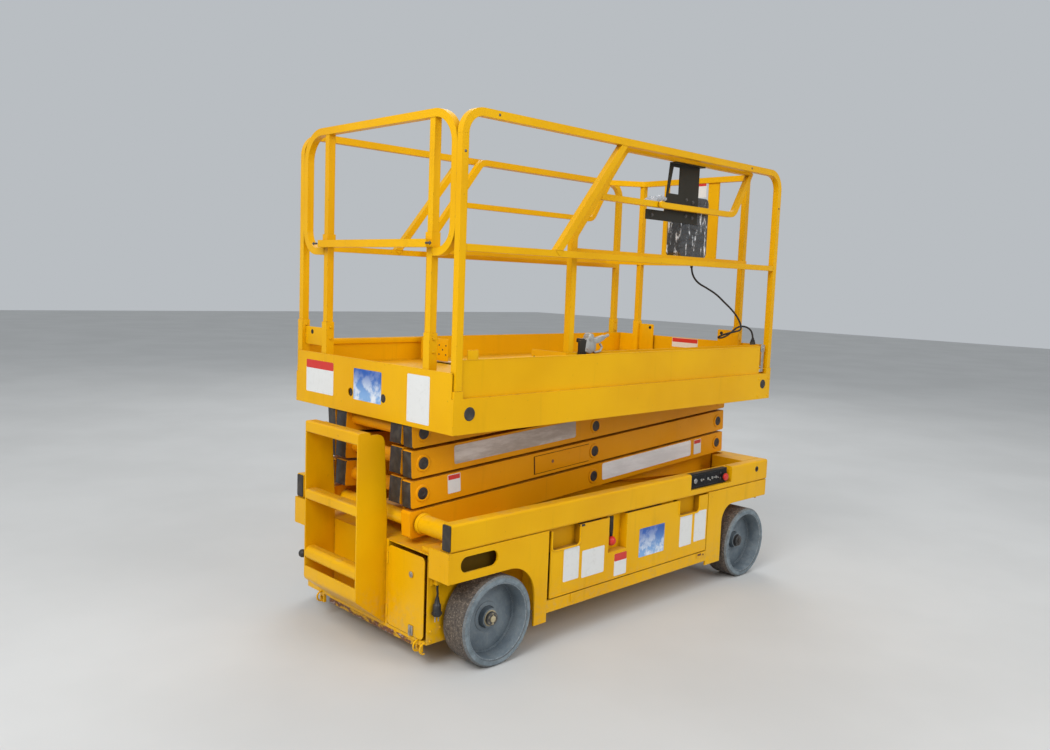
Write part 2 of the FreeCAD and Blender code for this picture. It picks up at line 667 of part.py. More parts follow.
def make_housing():
    length = s.housing_front - s.rear_face
    shell = box("housing_shell", (s.rear_face, -s.housing_half, s.housing_low),
                (length, 2 * s.housing_half, s.spine_top - s.housing_low))
    wall = 4.0
    bay_right, bay_top = wall - s.housing_half, s.spine_top - wall
    bay = box("housing_bay", (s.rear_face - 5, bay_right, s.housing_low + 10),
              (300, s.door_left + 3 - bay_right, bay_top - s.housing_low - 10))
    lugs = [slab("tie_lug_" + word, side, (s.rear_face, s.rear_face + 12), (y - 18.0, y + 18.0),
                 (s.housing_low - 42, s.housing_low + 5))
            for word, side, y in (("right", RIGHT, 404.0), ("left", LEFT, 331.0))]
    lip = box("housing_lip", (s.rear_face, -375.0, s.housing_low - 26), (60, 640.0, 31.0))
    holes = [rod("tie_hole_" + word, (s.rear_face - 5, y, s.housing_low - 22), tie_hole, 22.0, "x")
             for word, y in (("right", -404.0), ("left", 331.0))]
    node("rear_housing", cut("housing_cut", fuse("housing_all", [shell, lip] + lugs),
                             [bay] + holes))


tie_hole = 20.0


def make_rear_door():
    door_right = s.door_gap + 4 - s.housing_half
    outline = rectangle(door_right, s.housing_low + 14, s.door_left,
                        s.spine_top - 4 - s.door_gap, 22.0)
    leaf = plate("rear_door_leaf", "yz", outline, s.door_thick, s.rear_face - s.door_thick)
    knob = rod("rear_door_lock", (s.rear_face - s.door_thick - 4, -354.0, s.spine_top - 106),
               26.0, 6.0, "x")
    barrels = [rod("rear_door_hinge_%d" % i, (s.rear_face - 5, s.door_left + 2, z), 9.0, 50.0, "z")
               for i, z in enumerate((s.housing_low + 50, s.spine_top - 100))]
    node("rear_door", fuse("rear_door_all", [leaf, knob] + barrels))


RUNGS = (
    # name, underside, top, depth and corner radius
    ("first", 326.0, 384.0, 60.0, 22.0),
    ("second", 600.0, 645.0, 60.0, 10.0),
    ("top", 900.0, 950.0, 60.0, 8.0),
)


def make_ladder():
    """Two tapered stiles, three rungs and a foot well that closes the ladder's lower end."""
    rear, front = s.rear_face - s.ladder_deep, s.rear_face - s.seat
    low_y, high_y = s.ladder_mid - s.ladder_wide / 2, s.ladder_mid + s.ladder_wide / 2
    parts = []
    for word, y in (("right", low_y), ("left", high_y - s.stile_thick)):
        parts.append(plate("stile_" + word, "xz", [
            (rear, s.ladder_toe, 30), (front, s.ladder_low), (front, s.spine_top + 80),
            (front - s.ladder_taper, s.ladder_top - 12, 36), (rear, s.ladder_top - 12)],
            s.stile_thick, y))
    for name, low, top, deep, radius in RUNGS:
        rise = s.ladder_top - RUNGS[-1][2]
        parts.append(plate("rung_" + name, "xz", rectangle(rear, rise + low, rear + deep, rise + top,
                                                           radius), s.ladder_wide, low_y))
    wall = 5.0
    parts.append(plate("foot_well", "xz", [
        (rear, s.ladder_lip), (rear, s.ladder_toe, 30), (front, s.ladder_low),
        (front, s.ladder_low + 1.4 * wall), (rear + wall, s.ladder_toe + 0.6 * wall, 26),
        (rear + wall, s.ladder_lip)], s.ladder_wide, low_y))
    node("ladder", fuse("ladder_all", parts))


def make_trays():
    x0, x1 = s.tray_rear + s.tray_play, s.tray_front - s.tray_play
    top = s.rail_low - s.tray_play
    for word, side in SIDES:
        wall = s.tray_wall
        face = slab("tray_face_" + word, side, (x0, x1), (s.rail_out - wall, s.rail_out),
                    (s.tray_low, top))
        floor = slab("tray_floor_" + word, side, (x0, x1), (tray_in, s.rail_out - 1),
                     (s.tray_low + 2, s.tray_low + 2 + wall))
        back = slab("tray_back_" + word, side, (x0, x1), (tray_in, tray_in + wall),
                    (s.tray_low + 2, top - 90))
        parts = [face, floor, back]
        start = band(side, s.rail_out - wall - 5, s.rail_out + 5)
        cuts = [plate("tray_grip_%s_%s" % (end, word), "xz", [
            (x, top + 5), (x, low, 22), (x + wide, low, 22), (x + wide, top + 5)], wall + 10, start)
                for end, x, wide, low in (("rear", x0 + 4, 183.0, top - 92),
                                          ("front", x1 - 254, 177.0, top - 84))]
        if side == RIGHT:
            lever_x, lever_low, deep = x0 + 388, top - 169, 48.0
            parts.append(slab("lever_pocket", side, (lever_x - 4, lever_x + 134),
                              (s.rail_out - deep, s.rail_out - 1), (lever_low - 4, top)))
            cuts.append(slab("lever_room", side, (lever_x, lever_x + 130),
                             (s.rail_out - deep + 4, s.rail_out + 5), (lever_low, top + 5)))
        node("tray_" + word, cut("tray_cut_" + word, fuse("tray_all_" + word, parts), cuts))
        height = 215.0 if side == RIGHT else 190.0
        floor_z = s.tray_low + 2 + wall
        step = s.mass_long + s.mass_gap
        pack = [slab("mass_%s_%d" % (word, i), side,
                     (s.tray_rear + 60 + i * step, s.tray_rear + 60 + i * step + s.mass_long),
                     (tray_in + wall + 14, s.rail_out - wall - s.mass_room),
                     (floor_z, floor_z + height)) for i in range(3)]
        node("battery_pack" if side == RIGHT else "hydraulic_unit", fuse("mass_all_" + word, pack))


def make_panel():
    x0 = s.front_face - s.panel_back
    face = slab("panel_body", RIGHT, (x0 + 2, x0 + s.panel_wide - 32),
                (s.rail_out - s.panel_deep, s.rail_out - 12), (s.rail_low + 34, s.rail_top - 2))
    button = pin("panel_stop", RIGHT, x0 + s.panel_wide - 60, s.rail_low + 66,
                 (s.rail_out - 13, s.rail_out + 6), 34.0)
    node("ground_panel", fuse("ground_panel_all", [face, button]))


def make_end_caps():
    inset, round_ = s.cap_inset, s.rail_round - s.cap_inset
    caps = [plate("rail_cap_" + word, "yz", rectangle(
        side * (rail_in + inset), s.rail_low + inset, side * (s.rail_out - inset),
        s.rail_top - inset, round_), s.cap_thick, s.rear_face + s.rail_inset - s.cap_thick)
            for word, side in SIDES]
    node("rail_caps", fuse("rail_caps_all", caps))


def arm_outline(rear, front):
    """An arm from its rear pin along +X; each end is its length beyond the pin and its bevel."""
    a, b, h = -rear[0], s.arm_len + front[0], s.arm_high / 2
    c, d = front[1], rear[1]
    return [(a + d, -h), (b - c, -h), (b, c - h), (b, h - c), (b - c, h), (a + d, h),
            (a, h - d), (a, d - h)]


open_end = (s.arm_over, s.arm_bevel)
tucked_end = (s.tuck_over, s.tuck_bevel)


def arm_frame(obj, level, rising):
    """Set an arm, drawn along +X from its rear pin, into the lowered stack."""
    z = s.pin_z + (level - 1 if rising else level) * s.pitch
    obj.Placement = Placement(Vector(0, 0, 0), Rotation(Vector(0, 1, 0), 1))
    bind(obj, "Placement.Rotation.Angle", -tilt if rising else tilt)
    bind(obj, "Placement.Base.x", s.pin_x)
    bind(obj, "Placement.Base.z", z)
    return obj


def make_outer_arms():
    middle = s.arm_len / 2
    for level in LEVELS:
        parts = []
        outline = arm_outline(open_end, tucked_end if level == 4 else open_end)
        for word, side in SIDES:
            name = "outer_%d_%s" % (level, word)
            holes = [(0, 0, hole_dia)] if level == 1 else []
            parts.append(plate(name, "xz", outline, s.outer_thick,
                               band(side, outer_in, s.outer_y), holes))
            places = [middle] + ([0.0] if level > 1 else [])
            if level < 4:
                places.append(s.arm_len)
            else:
                parts.append(pin(name + "_roller", side, s.arm_len, 0,
                                 (s.outer_y + 6, s.outer_y + 6 + s.roller_wide), top_roller_dia))
                parts.append(pin(name + "_axle", side, s.arm_len, 0,
                                 (s.outer_y - 5, s.outer_y + 10), s.pin_dia))
            for i, x in enumerate(places):
                parts.append(pin("%s_pin_%d" % (name, i), side, x, 0,
                                 (inner_in - 4, outer_in + 5), s.pin_dia))
        arm_frame(node("outer_arms_%d" % level, fuse("outer_arms_%d_all" % level, parts)), level, True)


top_roller_dia = 64.0
INNER_LEVELS = (
    # level, lift of the front cross tube above the arms' middle line
    (1, 0.0), (2, 30.0), (3, 0.0), (4, 0.0),
)


def make_inner_arms():
    middle = s.arm_len / 2
    for level, tie_lift in INNER_LEVELS:
        parts = []
        outline = arm_outline(tucked_end if level == 4 else open_end, open_end)
        for word, side in SIDES:
            name = "inner_%d_%s" % (level, word)
            holes = [(0, 0, hole_dia), (middle, 0, hole_dia)]
            if level > 1:
                holes.append((s.arm_len, 0, hole_dia))
            parts.append(plate(name, "xz", outline, s.inner_thick,
                               band(side, inner_in, inner_out), holes))
            if level == 1:
                parts.append(pin(name + "_roller", side, s.arm_len, 0,
                                 (inner_in - 6 - s.roller_wide, inner_in - 6), s.roller_dia))
                parts.append(pin(name + "_axle", side, s.arm_len, 0,
                                 (inner_in - 10, inner_in + 5), s.pin_dia))
            if level == 2:
                eye_x, eye_z = s.arm_len - s.eye_back, -s.eye_drop
                tie_x = s.arm_len - s.tie_front
                parts.append(plate(name + "_ear", "xz", [
                    (tie_x - 20, tie_lift - 12), (eye_x - 24, eye_z - 24, 18),
                    (eye_x + 30, eye_z - 24, 18), (eye_x + 30, eye_z + 24, 18),
                    (tie_x + 26, tie_lift + 10), (tie_x - 20, tie_lift + 14)],
                    12.0, band(side, 34.0, 46.0), [(eye_x, eye_z, 31.0)]))
        for end, x, z in (("rear", s.tie_rear, 0.0), ("front", s.arm_len - s.tie_front, tie_lift)):
            parts.append(rod("inner_%d_tie_%s" % (level, end), (x, -inner_in - 5, z), s.tie_dia,
                             2 * inner_in + 10))
        arm_frame(node("inner_arms_%d" % level, fuse("inner_arms_%d_all" % level, parts)), level,
                  False)


def make_ram():
    """The lift cylinder, from its base pin to the second stage's front end."""
    base_x, base_z = s.pin_x + s.ram_rear, s.pin_z - s.ram_drop
    along, down = s.arm_len - s.eye_back, -s.eye_drop
    eye_x = s.pin_x + along * cos_tilt + down * sin_tilt
    eye_z = s.pin_z + 2 * s.pitch - along * sin_tilt + down * cos_tilt
    dx, dz = eye_x - base_x, eye_z - base_z
    length = Size("sqrt(%s ^ 2 + %s ^ 2)" % (dx.text, dz.text), math.hypot(dx.value, dz.value))
    angle = Size("atan2(%s; %s)" % (dz.text, dx.text), math.degrees(math.atan2(dz.value, dx.value)))
    bore = s.rod_dia + 1.2
    sleeve = cut("ram_sleeve", rod("ram_barrel_out", (66.0, 0, 0), s.ram_dia, length - 206, "x"),
                 [rod("ram_bore", (700.0, 0, 0), bore, length, "x")])
    base_eye = fuse("ram_base_eye", [sleeve, rod("ram_eye_disc", (0, -30, 0), s.eye_dia - 6, 60.0),
                                     box("ram_neck", (0, -26, -26), (80, 52, 52))])
    barrel = cut("ram_barrel_cut", base_eye, [rod("ram_eye_hole", (0, -35, 0), 31.0, 70.0)])
    shaft = fuse("ram_rod_all", [
        rod("ram_rod_shaft", (760.0, 0, 0), s.rod_dia, length - 770, "x"),
        rod("ram_rod_eye", (length, -28, 0), s.eye_dia - 8, 56.0)])
    rod_cut = cut("ram_rod_cut", shaft, [rod("ram_rod_hole", (length, -35, 0), 31.0, 70.0)])
    for label, obj in (("ram_barrel", barrel), ("ram_rod", rod_cut)):
        obj.Placement = Placement(Vector(0, 0, 0), Rotation(Vector(0, 1, 0), 1))
        bind(obj, "Placement.Rotation.Angle", -angle)
        bind(obj, "Placement.Base.x", base_x)
        bind(obj, "Placement.Base.z", base_z)
        node(label, obj)
    return length, angle


def make_platform():
    x0, x1 = s.rear_face, s.rear_face + s.plat_len
    half, t = s.plat_wide / 2, s.fascia_thick
    parts = [box("deck_plate", (x0, -half + s.step_in, s.deck_top - s.deck_thick),
                 (s.plat_len, 2 * (half - s.step_in), s.deck_thick))]
    for word, side in SIDES:
        parts.append(slab("fascia_" + word, side, (x0, x1), (half - t, half),
                          (s.fascia_low, s.fascia_top)))
        parts.append(slab("fascia_step_" + word, side, (x0, x1), (half - s.step_in - 5, half),
                          (s.fascia_top - t, s.fascia_top)))
        parts.append(slab("fascia_foot_" + word, side, (x0, x1), (half - 40, half),
                          (s.fascia_low, s.fascia_low + t)))
        for i, x in enumerate((rail_back, rail_fore)):
            parts.append(slab("post_foot_%s_%d" % (word, i), side, (x - 22, x + 22),
                              (rail_y - 20, half), (s.fascia_top - t, s.deck_top)))
        toe_x = (rail_back + s.tube_wide / 2 + s.seat, rail_fore - s.toe_short)
        parts.append(slab("toe_board_" + word, side, toe_x,
                          (half - s.step_in - t, half - s.step_in), (s.fascia_top - t, s.toe_side)))
        track = s.pin_z + 4 * s.pitch
        roller = top_roller_dia / 2
        track_x = (s.pin_x + 780, s.rear_face + s.plat_len - 20)
        low, high = s.outer_y + 5, s.outer_y + 12 + s.roller_wide
        parts.append(slab("track_low_" + word, side, track_x, (low, high + 6),
                          (track - roller - 7, track - roller - 1)))
        parts.append(slab("track_high_" + word, side, track_x, (low, high + 6),
                          (track + roller + 1, track + roller + 7)))
        parts.append(slab("track_web_" + word, side, track_x, (high, high + 6),
                          (track - roller - 7, s.deck_top - 2)))
        parts.append(slab("pivot_ear_" + word, side, (s.pin_x - 36, s.pin_x + 36),
                          (outer_in + 1, outer_in + 15), (track - 36, s.deck_top - 2)))
        parts.append(pin("pivot_stub_" + word, side, s.pin_x, track, (inner_in - 4, outer_in + 5),
                         s.pin_dia))
    bolt_holes = [(y, s.fascia_top - 50, 37.0) for y in (-122.0, 123.0)]
    for name, x, holes in (("rear", x0, bolt_holes), ("front", x1 - t, [])):
        parts.append(plate("fascia_" + name, "yz", rectangle(-half, s.fascia_low, half, s.fascia_top),
                           t, x, holes))
    parts.append(box("toe_board_rear", (x0, -half + s.step_in, s.fascia_top - t),
                     (t, 2 * (half - s.step_in), s.toe_rear - s.fascia_top + t)))
    node("platform_deck", fuse("platform_all", parts))


def elbow_seams(name, y):
    """Seams that set the loop's upper corners apart as elbows, each made of two halves."""
    wide, seams = s.tube_wide, []
    for end, x, turn, slant in (("rear", rail_back, 1, 225), ("front", rail_fore, -1, -45)):
        middle_x, middle_z = x + turn * s.bend, s.rail_z - s.bend
        seams.append(box("%s_%s_foot" % (name, end), (x - wide, y - wide, middle_z - s.seat / 2),
                         (2 * wide, 2 * wide, s.seat)))
        seams.append(box("%s_%s_head" % (name, end), (middle_x - s.seat / 2, y - wide, s.rail_z - wide),
                         (s.seat, 2 * wide, 2 * wide)))
        halves = box("%s_%s_halves" % (name, end), (0, 0, 0), (1.5 * s.bend, 2 * wide, s.seat))
        seams.append(place(halves, (middle_x, y - wide, middle_z), (0, 1, 0), slant))
    return seams


def rail_seams(name, y, foot_x):
    """Seams where the middle rail meets the posts and the brace meets both rails."""
    wide, half, seams = s.tube_wide, s.tube_wide / 2, []
    for end, x in (("rear", rail_back + half), ("front", rail_fore - half - s.seat)):
        seams.append(box("%s_mid_%s" % (name, end), (x, y - wide, s.mid_z - wide),
                         (s.seat, 2 * wide, 2 * wide)))
    for end, x, z in (("low", foot_x, s.mid_z + s.mid_wide / 2),
                      ("high", foot_x + s.brace_run, s.rail_z - half - s.seat)):
        seams.append(box("%s_brace_%s" % (name, end), (x - 3 * wide, y - wide, z),
                         (6 * wide, 2 * wide, s.seat)))
    return seams


def make_side_rails():
    for word, side in SIDES:
        y = side * rail_y
        loop = tube("main_loop_" + word, "xz", -y, [
            (rail_back, s.deck_top), (rail_back, s.rail_z, s.bend), (rail_fore, s.rail_z, s.bend),
            (rail_fore, s.deck_top)], s.tube_wide)
        mid = rail("main_mid_" + word, (rail_back, rail_fore), y, s.mid_z, s.mid_wide)
        foot_x = s.rear_face + s.brace_low
        brace = tube("main_brace_" + word, "xz", -y, [
            (foot_x, s.mid_z), (foot_x + s.brace_run, s.rail_z)], s.tube_wide)
        whole = fuse("guardrail_all_" + word, [loop, mid, brace])
        seams = elbow_seams("elbow_" + word, y) + rail_seams("joint_" + word, y, foot_x)
        node("guardrail_" + word, cut("guardrail_cut_" + word, whole, seams))


def make_rear_rails():
    """Two gate posts inside a frame whose lower ends turn in to meet them."""
    y, z = frame_y, s.stub_z
    parts = [tube("entry_frame", "yz", rail_back, [
        (gate_right, z), (-y, z, s.stub_bend), (-y, s.rail_z, s.rear_bend),
        (y, s.rail_z, s.rear_bend), (y, z, s.stub_bend), (gate_left, z)], s.tube_wide)]
    for word, y in (("right", gate_right), ("left", gate_left)):
        parts.append(post("gate_post_" + word, rail_back, y, (s.deck_top, s.rail_z), s.tube_wide))
        parts.append(post("gate_sleeve_" + word, rail_back, y,
                          (s.deck_top, s.deck_top + s.sleeve_high), s.sleeve_wide))
    node("guardrail_rear", fuse("guardrail_rear_all", parts))


def make_entry_bar():
    """A bar behind the gate posts, on sleeves that slide up them from the stubs."""
    hole = s.tube_wide + 2 * s.bar_play
    low = s.stub_z + s.tube_wide / 2 + s.seat
    parts = [box("bar_tube", (rail_back - hole / 2 - s.tube_wide, gate_right - hole / 2, low),
                 (s.tube_wide, gate_left - gate_right + hole, s.tube_wide))]
    cuts = []
    for word, y in (("right", gate_right), ("left", gate_left)):
        parts.append(post("bar_sleeve_" + word, rail_back, y, (low, low + s.bar_sleeve), hole + 8))
        cuts.append(post("bar_hole_" + word, rail_back, y, (low - 5, low + s.bar_sleeve + 5), hole))
    node("entry_bar", cut("entry_bar_cut", fuse("entry_bar_all", parts), cuts))


def make_extension():
    x0, x1 = s.ext_back - 30, rail_fore + 21
    z0 = s.deck_top + s.ext_lift
    y = s.ext_y
    parts = [box("ext_plate", (x0, -y - 18, z0), (x1 - x0, 2 * y + 36, s.ext_deck_thick))]
    for word, side in SIDES:
        parts.append(slab("ext_toe_" + word, side, (x0, x1), (y + 17, y + 21), (z0, s.toe_side + 8)))
        parts.append(slab("ext_skid_" + word, side, (x0, x1 - 60), (y - 60, y - 20),
                          (s.deck_top + s.seat, z0 + 2)))
    parts.append(box("ext_toe_front", (x1 - 4, -y - 21, z0), (4, 2 * y + 42, s.toe_side + 8 - z0)))
    node("extension_deck", fuse("extension_deck_all", parts))


def make_extension_rails():
    """Two side frames, joined round the front by a top and a middle rail."""
    foot = s.deck_top + s.ext_lift + s.ext_deck_thick
    y, nose = s.ext_y, s.ext_nose_y
    turn_x = rail_fore - s.ext_turn
    slope_x = s.ext_back + s.ext_slant
    low_turn = turn_x - s.ext_rise
    low_x = s.ext_back + s.ext_slant * (s.ext_low_z - s.ext_knee_z) / (s.ext_z - s.ext_knee_z)
    mid_z = s.ext_mid_z
    rails = []
    for word, side in SIDES:
        yy = side * y
        rails.append(tube("ext_side_" + word, "xz", -yy, [
            (s.ext_back, foot), (s.ext_back, s.ext_knee_z, s.ext_bend),
            (slope_x, s.ext_z, s.ext_bend), (slope_x + 150, s.ext_z)], s.tube_wide))
        rails.append(tube("ext_low_" + word, "xz", -yy, [
            (low_x, s.ext_low_z), (low_turn, s.ext_low_z, s.ext_bend), (turn_x, s.ext_z)],
            s.mid_wide))
        rails.append(post("ext_corner_" + word, rail_fore, side * nose, (foot, s.ext_z),
                          s.tube_wide))
    for level, start, z, wide in (("top", slope_x + 140, s.ext_z, s.tube_wide),
                                  ("mid", s.ext_back, mid_z, s.ext_wide)):
        rails.append(tube("ext_round_" + level, "xy", z, [
            (start, -y), (turn_x, -y, s.ext_bend), (rail_fore, -nose, s.ext_bend),
            (rail_fore, nose, s.ext_bend), (turn_x, y, s.ext_bend), (start, y)], wide))
    rails.append(post("ext_front_post", rail_fore, s.nose_post_y, (mid_z, s.ext_z), 24.0))
    rails.append(box("ext_front_board", (rail_fore - 4, s.nose_board_y, mid_z),
                     (8, s.nose_board_wide, s.ext_z - mid_z)))
    node("extension_rails", fuse("extension_rails_all", rails))


def route(points, radii):
    """One wire of straight runs through the points, joined by tangent arcs."""
    spots = [Vector(*[number(c) for c in point]) for point in points]
    edges, start = [], spots[0]
    for before, here, after, radius in zip(spots, spots[1:], spots[2:], radii):
        back, ahead = (before - here).normalize(), (after - here).normalize()
        half = back.getAngle(ahead) / 2
        run = radius / math.tan(half)
        bisector = (back + ahead).normalize()
        middle = here + bisector * (radius / math.sin(half) - radius)
        first, last = here + back * run, here + ahead * run
        edges.append(Part.LineSegment(start, first).toShape())
        edges.append(Part.Arc(first, middle, last).toShape())
        start = last
    edges.append(Part.LineSegment(start, spots[-1]).toShape())
    return Part.Wire(edges)


def swept(name, path, section):
    """The solid that a section, set square to the path's start, makes along it."""
    obj = doc.addObject("Part::Feature", name)
    obj.Shape = path.makePipeShell([section], True, False)
    return obj


def make_control_box():
    """The box on its bracket, inside the extension's right top tube."""
    x0 = s.ext_back + s.case_ahead
    x1 = x0 + s.case_long
    face = s.ext_y - 30
    top = s.ext_z - s.tube_wide / 2
    shelf_low, shelf_top = s.ext_low_z - 70, s.ext_low_z - 22
    hanger = plate("control_hanger", "xz", [
        (x0 - 295, shelf_low), (x1 - 105, shelf_low), (x1 - 105, top), (x0 - 120, top),
        (x0 - 150, shelf_top), (x0 - 295, shelf_top)], 6.0, -face,
        windows=[[(x0 - 125, shelf_top + 90), (x0 - 40, shelf_top + 90), (x0 - 40, top - 20),
                  (x0 - 95, top - 20)]])
    hook = slab("control_hook", RIGHT, (x0 - 120, x1 - 105), (face - 6, s.ext_y + 4),
                (top - 6, top - s.seat))
    node("control_bracket", fuse("control_bracket_all", [hanger, hook]))
    case = plate("control_case", "xz", rectangle(x0, s.case_low, x1, s.case_low + s.case_high, 28.0),
                 s.case_deep, -(face - 6) + s.seat)
    gland = rod("control_gland", (gland_x, gland_y, gland_z), 2.2 * s.cord_dia,
                s.case_low - gland_z + 3, "z")
    node("control_box", fuse("control_box_all", [case, gland]))


gland_x, gland_y, gland_z = 628.0, -425.0, 1721.0
socket_x, socket_y, socket_z = 1162.0, -490.0, 1300.0
CORD_ROUTE = [
    # x, y, z from the gland, once round a loose loop, to the socket
    (gland_x, gland_y, gland_z), (gland_x, gland_y, 1690), (645, -426, 1650), (690, -429, 1616),
    (765, -434, 1592), (850, -441, 1560), (920, -447, 1518), (984, -447, 1486), (1032, -459, 1445),
    (1038, -484, 1401), (1007, -508, 1370), (957, -513, 1364), (919, -482, 1352),
    (915, -435, 1334), (947, -398, 1320), (1001, -393, 1318), (1051, -402, 1336),
    (1096, -432, 1387), (1137, -468, 1384), (socket_x, socket_y, 1348),
    (socket_x, socket_y, socket_z),
]


def make_control_cord():
    spots = [Vector(*point) for point in CORD_ROUTE]
    radii = []
    for before, here, after in zip(spots, spots[1:], spots[2:]):
        back, ahead = before - here, after - here
        turn = math.pi - back.getAngle(ahead)
        radii.append(0.45 * min(back.Length, ahead.Length) / math.tan(turn / 2))
    print("cable arc radii:", " ".join("%.0f" % r for r in radii))
    path = route(CORD_ROUTE, radii)
    radius = number(s.cord_dia) / 2
    section = Part.Wire(Part.makeCircle(radius, spots[0], spots[1] - spots[0]))
    cord = swept("control_cord_tube", path, section)
    print("cable length %.0f, volume ratio %.4f"
          % (path.Length, cord.Shape.Volume / (math.pi * radius ** 2 * path.Length)))
    node("control_cord", cord)
    inside = s.ext_y + 17 - s.seat
    parts = [rod("socket_body", (socket_x, socket_y, socket_z - 56), 30.0, 56.0, "z"),
             slab("socket_foot", RIGHT, (socket_x - 15, socket_x + 15), (-socket_y, inside),
                  (socket_z - 54, socket_z - 22))]
    node("control_socket", fuse("control_socket_all", parts))


def write_parts():
    doc.recompute()
    failed = [o.Name for o in doc.Objects if "Invalid" in o.State or "Error" in o.State]
    if failed:
        raise RuntimeError("failed objects: " + ", ".join(failed))
    for obj in nodes:
        if obj.Shape.isNull() or not obj.Shape.isValid() or obj.Shape.Volume < 1:
            raise RuntimeError("bad shape: " + obj.Label)
    os.makedirs("parts", exist_ok=True)
    for obj in nodes:
        obj.Shape.exportStep("parts/%s.step" % obj.Label)


make_wheels()
make_rear_axle()
make_front_axle()
make_knuckles()
make_tie_rod()
make_chassis_frame()
make_sills()
make_spine()
make_ram_mount()
make_skirts()
make_housing()
make_rear_door()
make_ladder()
make_trays()
make_panel()
make_end_caps()
make_outer_arms()
make_inner_arms()
make_ram()
make_platform()
make_side_rails()
make_rear_rails()
make_entry_bar()
make_extension()
make_extension_rails()
make_control_box()
make_control_cord()
write_parts()
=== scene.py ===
import math
import random
import bmesh
import bpy
from fnmatch import fnmatch
from mathutils import Matrix, Vector


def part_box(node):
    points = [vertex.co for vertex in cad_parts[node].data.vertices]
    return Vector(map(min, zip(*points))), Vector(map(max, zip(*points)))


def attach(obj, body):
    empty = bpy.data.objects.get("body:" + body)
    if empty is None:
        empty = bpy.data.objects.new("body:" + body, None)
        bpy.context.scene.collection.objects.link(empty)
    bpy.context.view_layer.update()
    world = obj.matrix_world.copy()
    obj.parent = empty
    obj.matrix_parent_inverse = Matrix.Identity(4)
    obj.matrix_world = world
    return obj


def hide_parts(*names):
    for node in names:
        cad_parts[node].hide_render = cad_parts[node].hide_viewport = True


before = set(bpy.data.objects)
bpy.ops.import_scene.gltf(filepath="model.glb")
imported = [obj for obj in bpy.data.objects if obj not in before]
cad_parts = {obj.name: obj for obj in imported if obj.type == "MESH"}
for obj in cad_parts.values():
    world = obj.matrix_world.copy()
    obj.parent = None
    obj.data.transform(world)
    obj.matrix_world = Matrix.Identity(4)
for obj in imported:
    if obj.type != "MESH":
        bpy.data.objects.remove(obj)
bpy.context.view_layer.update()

# Looks of the scissor lift, in metres. +X is its steered front end, +Y its left, +Z up.

scene = bpy.context.scene
dice = random.Random(7)

X, Y, Z = (Vector(unit) for unit in ((1, 0, 0), (0, 1, 0), (0, 0, 1)))
RIGHT, LEFT = BOTH = -1, 1
SIDES = (("right", RIGHT), ("left", LEFT))
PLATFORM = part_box("platform_deck")
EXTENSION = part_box("extension_deck")
REAR_X = PLATFORM[0].x
FASCIA_Y = PLATFORM[1].y
TOE_Y = FASCIA_Y - 0.013
SKIRT_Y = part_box("skirt_left")[1].y
ARM_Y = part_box("outer_arms_1")[1].y
HUB_Z = (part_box("tyre_rear_left")[0].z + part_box("tyre_rear_left")[1].z) / 2

# rear pin of the lowest outer arm, height of a stage, distance between an arm's end pins
PIN_X, PIN_Z, PITCH, ARM = -1.023, 0.576, 0.1265, 2.149
TILT = math.asin(PITCH / ARM)
LEVELS = (1, 2, 3, 4)
# middle lines of the guardrails' end posts, middle height of their middle rails
POST_Y, POST_REAR, POST_FRONT = 0.565, -1.068, 1.194
MIDDLE_Z = 1.713
# each gate post's y, and the side of the gate that it stands on
GATES = ((-0.398, RIGHT), (0.355, LEFT))
# half widths of box tubes, with a hair's breadth for the seam round them
RAIL, POST, THIN = 0.0142, 0.0162, 0.0124
FRONT_POST_Y, FRONT_RAILS_Z = 0.366, (1.7465, 2.2015)
SLEEVE_BOLTS_Z = (1.352, 1.300)


def make_camera():
    """The photograph's viewpoint, found from the machine's own parallel edges."""
    yaw, pitch, roll = (math.radians(angle) for angle in (45.578, -5.984, -2.145))
    ahead = Vector((math.cos(pitch) * math.cos(yaw), math.cos(pitch) * math.sin(yaw), math.sin(pitch)))
    level = Vector((math.sin(yaw), -math.cos(yaw), 0))
    down = ahead.cross(level)
    right = math.cos(roll) * level + math.sin(roll) * down
    up = math.sin(roll) * level - math.cos(roll) * down
    turn = Matrix((right, up, -ahead)).transposed()
    data = bpy.data.cameras.new("camera")
    data.sensor_width = 36.0
    data.lens = 30.68
    camera = bpy.data.objects.new("camera", data)
    camera.matrix_world = Matrix.Translation((-3.27978, -3.19941, 1.59282)) @ turn.to_4x4()
    scene.collection.objects.link(camera)
    scene.camera = camera


